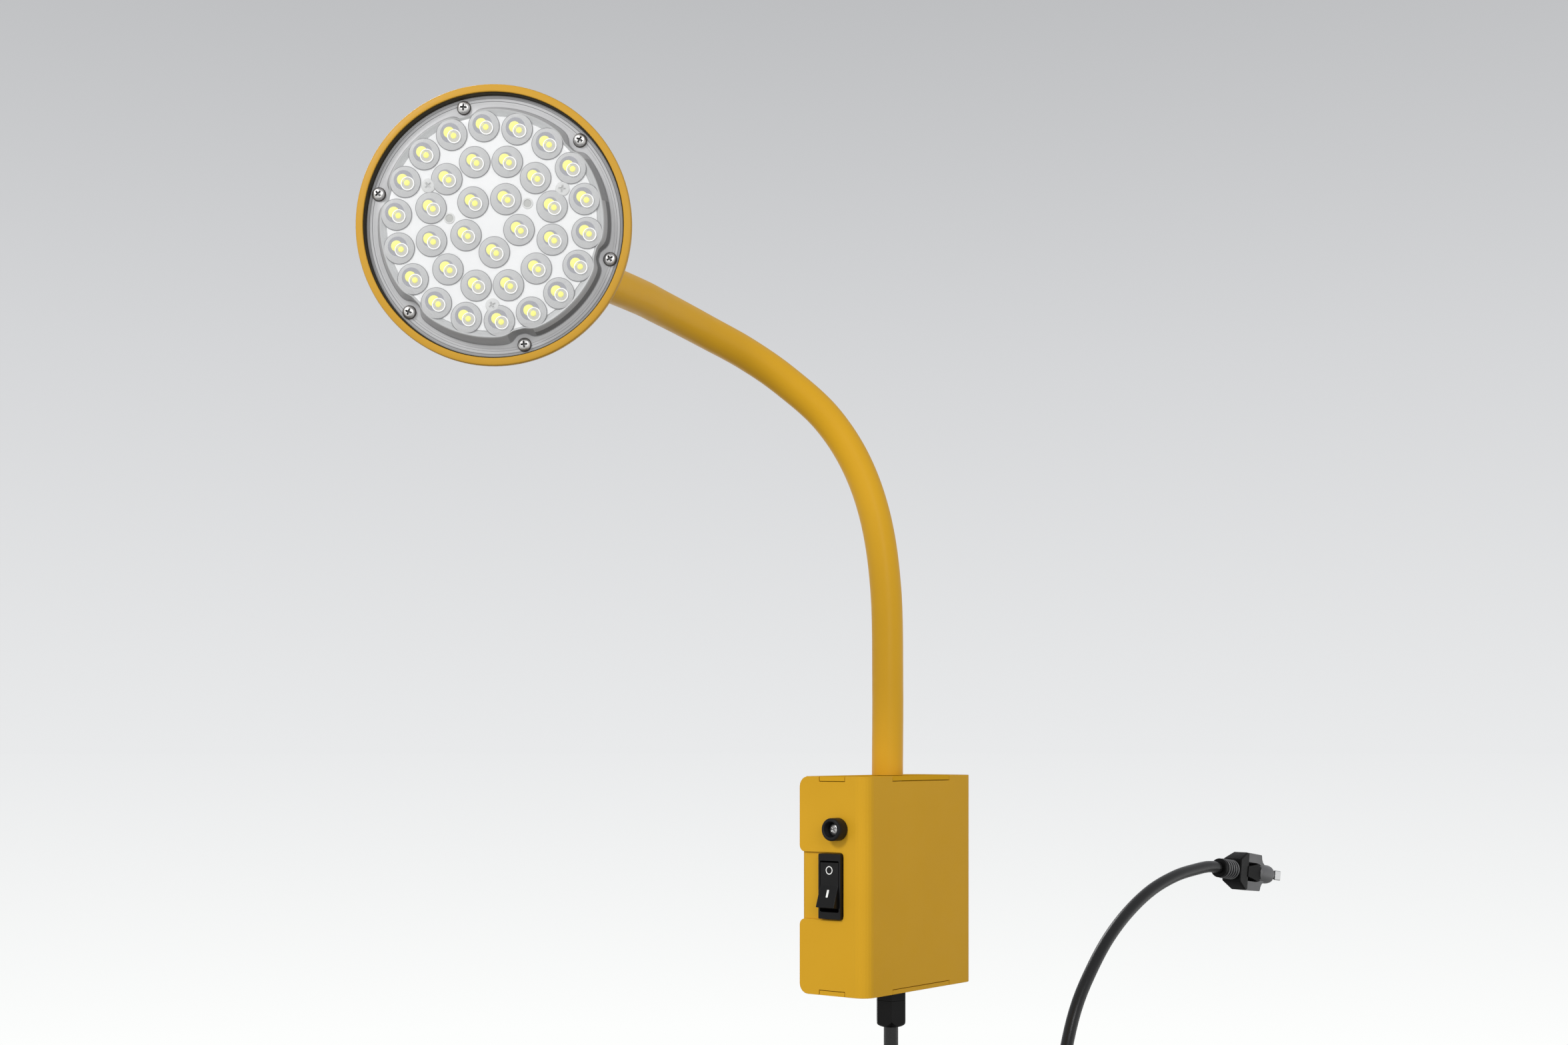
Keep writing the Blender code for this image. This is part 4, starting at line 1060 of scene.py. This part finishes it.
def make_cover_frame():
    """Flange with turned steps, and the scalloped wall up to the clear middle; round the clock the
    wall takes lit and shaded copies of its finish as painted light and shade.
    """
    angles = spread(COVER_SIDES, 0)
    finishes = (
        COVER_GREY,
        COVER_LINE,
        COVER_DEEP_SHADE,
        COVER_WALL,
        COVER_EDGE,
        COVER_SOFT,
        COVER_PALE_LIT,
        COVER_HALF_SHADE,
    )
    grey, line, dark, wall, edge, soft, pale, shade = range(len(finishes))
    # radius and height of each step, and the finish of the band that follows it
    flange = (
        (0.04935, -0.0049, grey),
        (0.04935, -0.0043, line),
        (0.0491, -0.0040, grey),
        (0.0482, -0.0036, line),
        (0.0479, -0.0034, grey),
        (0.0470, -0.0034, line),
        (0.0468, -0.0036, grey),
        (0.0461, -0.0036, grey),
        (0.0459, -0.0034, grey),
    )
    # plain radius, dip and reach of the scallops, height, and finish of the next band
    rise = (
        (0.0448, 0.0030, 0.0034, -0.0034, line),
        (0.0445, 0.0030, 0.0035, -0.0032, dark),
        (0.0441, 0.0028, 0.0037, -0.0012, dark),
        (0.0437, 0.0026, 0.0038, 0.0000, wall),
        (0.0430, 0.0022, 0.0040, 0.0016, wall),
        (0.0427, 0.0018, 0.0042, 0.0024, edge),
        (0.0424, 0.0016, 0.0042, 0.0026, edge),
        (0.0396, 0.0002, 0.0042, 0.0016, soft),
        (0.0390, 0.0001, 0.0042, 0.0012, grey),
    )
    bm = bmesh.new()
    rings = []
    indices = []
    for radius, z, index in flange:
        rings.append([bm.verts.new(clock(radius, a) + Vector((0, 0, z))) for a in angles])
        indices.append(index)
    for plain, dip, reach, z, index in rise:
        spots = [clock(plateau_radius(a, plain, dip, reach), a) for a in angles]
        rings.append([bm.verts.new(point + Vector((0, 0, z))) for point in spots])
        indices.append(index)
    rings.append([bm.verts.new(clock(0.0375, a) + Vector((0, 0, -0.0049))) for a in angles])
    indices.append(grey)
    for number, (ring, following) in enumerate(zip(rings, rings[1:] + rings[:1])):
        bridge(bm, ring, following, indices[number])
    bm.faces.ensure_lookup_table()
    # painted shade: the wall keeps its darkest finishes only on the lower right, half shade beside
    # that, and a pale lit finish elsewhere
    for number, face in enumerate(bm.faces):
        around = math.degrees(angles[number % COVER_SIDES])
        in_deep_shade = DEEP_SHADE_STRETCH[0] < around < DEEP_SHADE_STRETCH[1]
        in_half_shade = HALF_SHADE_STRETCH[0] < around < HALF_SHADE_STRETCH[1]
        if face.material_index in (dark, wall) and not in_deep_shade:
            face.material_index = shade if in_half_shade else pale
    piece = mesh_object("cover_rim", bm, *finishes, place=HEAD, sharp=40)
    dress(piece, "lamp_head")


def lens_places():
    for count, ring, phase in LENS_RINGS:
        for angle in spread(count, math.radians(phase)):
            yield clock(ring, angle)


def make_face_plate():
    """White face between the lenses, with its wire holes and faint screws."""
    raised = LOOK_SLOPE * (FACE_PLANE + 0.0033)
    lower = FACE_PLANE - 0.0015
    profile = ((0, FACE_PLANE), (0.0400, FACE_PLANE), (0.0400, lower), (0, lower))
    bm = bmesh.new()
    turn_into(bm, profile, 96, closed=False)
    piece = mesh_object("board_face", bm, BOARD, place=HEAD)
    dress(piece, "lamp_head", ["led_board"])
    for number, (radius, angle) in enumerate(WIRE_HOLES, 1):
        centre = clock(radius, math.radians(angle)) + raised + Vector((0, 0, FACE_PLANE))
        ring = [(0.0021, -0.0001), (0.0021, 0.00005), (0.0019, 0.0002), (0.0015, 0.0002)]
        ring += [(0.0013, 0.00005), (0, 0.00005)]
        bm = bmesh.new()
        turn_into(bm, ring, 40, closed=False, indices=(1, 0, 0, 1, 2))
        place = HEAD @ Matrix.Translation(centre)
        finishes = (HOLE_RING, HOLE_EDGE, HOLE_MIDDLE)
        hole = mesh_object(f"wire_hole_{number}", bm, *finishes, place=place)
        dress(hole, "lamp_head")
    mesh = phillips_mesh("board_phillips", 0.0027, 0.0005, 0.0011, 0.0030, PALE_SCREW, GHOST_CROSS_SHADE)
    for number, angle in enumerate(spread(3, BOARD_SCREW_PHASE), 1):
        spot = clock(BOARD_SCREW_CIRCLE, angle) + raised + Vector((0, 0, FACE_PLANE))
        turn = Matrix.Rotation(number * 0.7, 4, "Z")
        place = HEAD @ Matrix.Translation(spot) @ turn
        screw = place_mesh(f"board_pan_screw_{number}", mesh, place)
        dress(screw, "lamp_head", [f"board_screw_{number}"])


def dome_into(bm, centre, radius, height, index, sides=28):
    """Add a low dome, all of it in one material."""
    profile = []
    for step in range(6):
        angle = math.radians(18 * step)
        profile.append((radius * math.cos(angle), height * math.sin(angle)))
    profile[-1] = (0, height)
    turn_into(bm, profile, sides, Matrix.Translation(centre), [index] * 5, closed=False)


def make_lenses():
    """Every lens: a grey disc, a low dome of painted shade round its phosphor, the bright ring
    with a faint painted glow, and two spots of phosphor.
    """
    materials = (LENS_GREY, LENS_EDGE, LENS_SHADE, LENS_RING, LENS_PUPIL, PHOSPHOR)
    grey, edge, floor, bright, pupil, phosphor = range(len(materials))
    profile = (
        (LENS_RADIUS, FACE_PLANE - LENS_TOP),
        (LENS_RADIUS, -0.0001),
        (LENS_RADIUS - 0.00022, 0),
        (0, 0),
    )
    # cup marks the centre of a low dome of painted shade round the phosphor, wider on the outer
    # lenses
    cup = Vector((-0.0006, 0.0007, 0))
    blob = Vector((-0.00095, 0.00085, 0.0))
    ring = Vector((0.00100, -0.00072, 0.0003))
    ring_section = [
        (0.0024 + 0.00023 * math.cos(a), 0.00022 * math.sin(a)) for a in spread(8, 0)
    ]
    inside_ring = ring + Vector((0, 0, -0.0001))
    seen_in_ring = ring + Vector((-0.0002, 0.00025, 0.0))
    bm = bmesh.new()
    for spot in lens_places():
        place = Matrix.Translation(spot + Vector((0, 0, LENS_TOP)))
        turn_into(bm, profile, 48, place, (edge, edge, grey), closed=False)
        shade_radius = 0.0037 if spot.length > OUTER_LENSES else 0.0029
        dome_into(bm, place @ cup, shade_radius, 0.00010, floor, 36)
        dome_into(bm, place @ blob, 0.0022, 0.00030, phosphor)
        turn_into(bm, ring_section, 44, Matrix.Translation(place @ ring), [bright] * 8)
        dome_into(bm, place @ inside_ring, 0.0023, 0.00014, pupil)
        dome_into(bm, place @ seen_in_ring, 0.00115, 0.00022, phosphor)
    piece = mesh_object("lens_array", bm, *materials, place=HEAD, sharp=50)
    dress(piece, "lamp_head", ["lens_cover"])


def make_cover_sheet():
    """Thin clear face over the cover's raised middle."""
    bm = bmesh.new()
    rings = []
    for plain, z in ((0.0412, 0.00290), (0.0412, 0.00300), (0.0370, 0.00305)):
        spots = [clock(plateau_radius(a, plain, 0.0022, 0.0052), a) for a in spread(144, 0)]
        rings.append([bm.verts.new(point + Vector((0, 0, z))) for point in spots])
    for ring, following in zip(rings, rings[1:]):
        bridge(bm, ring, following)
    bridge(bm, rings[-1], [bm.verts.new((0, 0, 0.00305))])
    bridge(bm, rings[0], [bm.verts.new((0, 0, 0.00290))])
    sheet = mesh_object("cover_sheet", bm, COVER_SHEET, place=HEAD)
    dress(sheet, "lamp_head")


def make_cover_screws():
    """The cover's screws, each in a dark ring of painted shadow."""
    mesh = phillips_mesh("cover_phillips", 0.0024, 0.0017, 0.00115, 0.0060, STEEL, RECESS_SHADE_STEEL)
    for number, angle in enumerate(spread(6, SCREW_PHASE), 1):
        seat = HEAD @ Matrix.Translation(clock(SCREW_CIRCLE, angle) + Vector((0, 0, -0.0033)))
        turn = Matrix.Rotation(0.4 + 1.1 * number, 4, "Z")
        screw = place_mesh(f"cover_pan_screw_{number}", mesh, seat @ turn)
        dress(screw, "lamp_head", [f"cover_screw_{number}"])
        # painted shadow: a dark ring round the screw head, in the gap
        bm = bmesh.new()
        section = ((0.0016, 0.0), (0.0027, 0.0), (0.0026, 0.0003), (0.0016, 0.0003))
        turn_into(bm, section, 40, seat)
        ring = mesh_object(f"screw_shadow_ring_{number}", bm, SCREW_SHADOW_DARK)
        dress(ring, "lamp_head")


make_housing()
make_cover_frame()
make_face_plate()
make_lenses()
make_cover_sheet()
make_cover_screws()
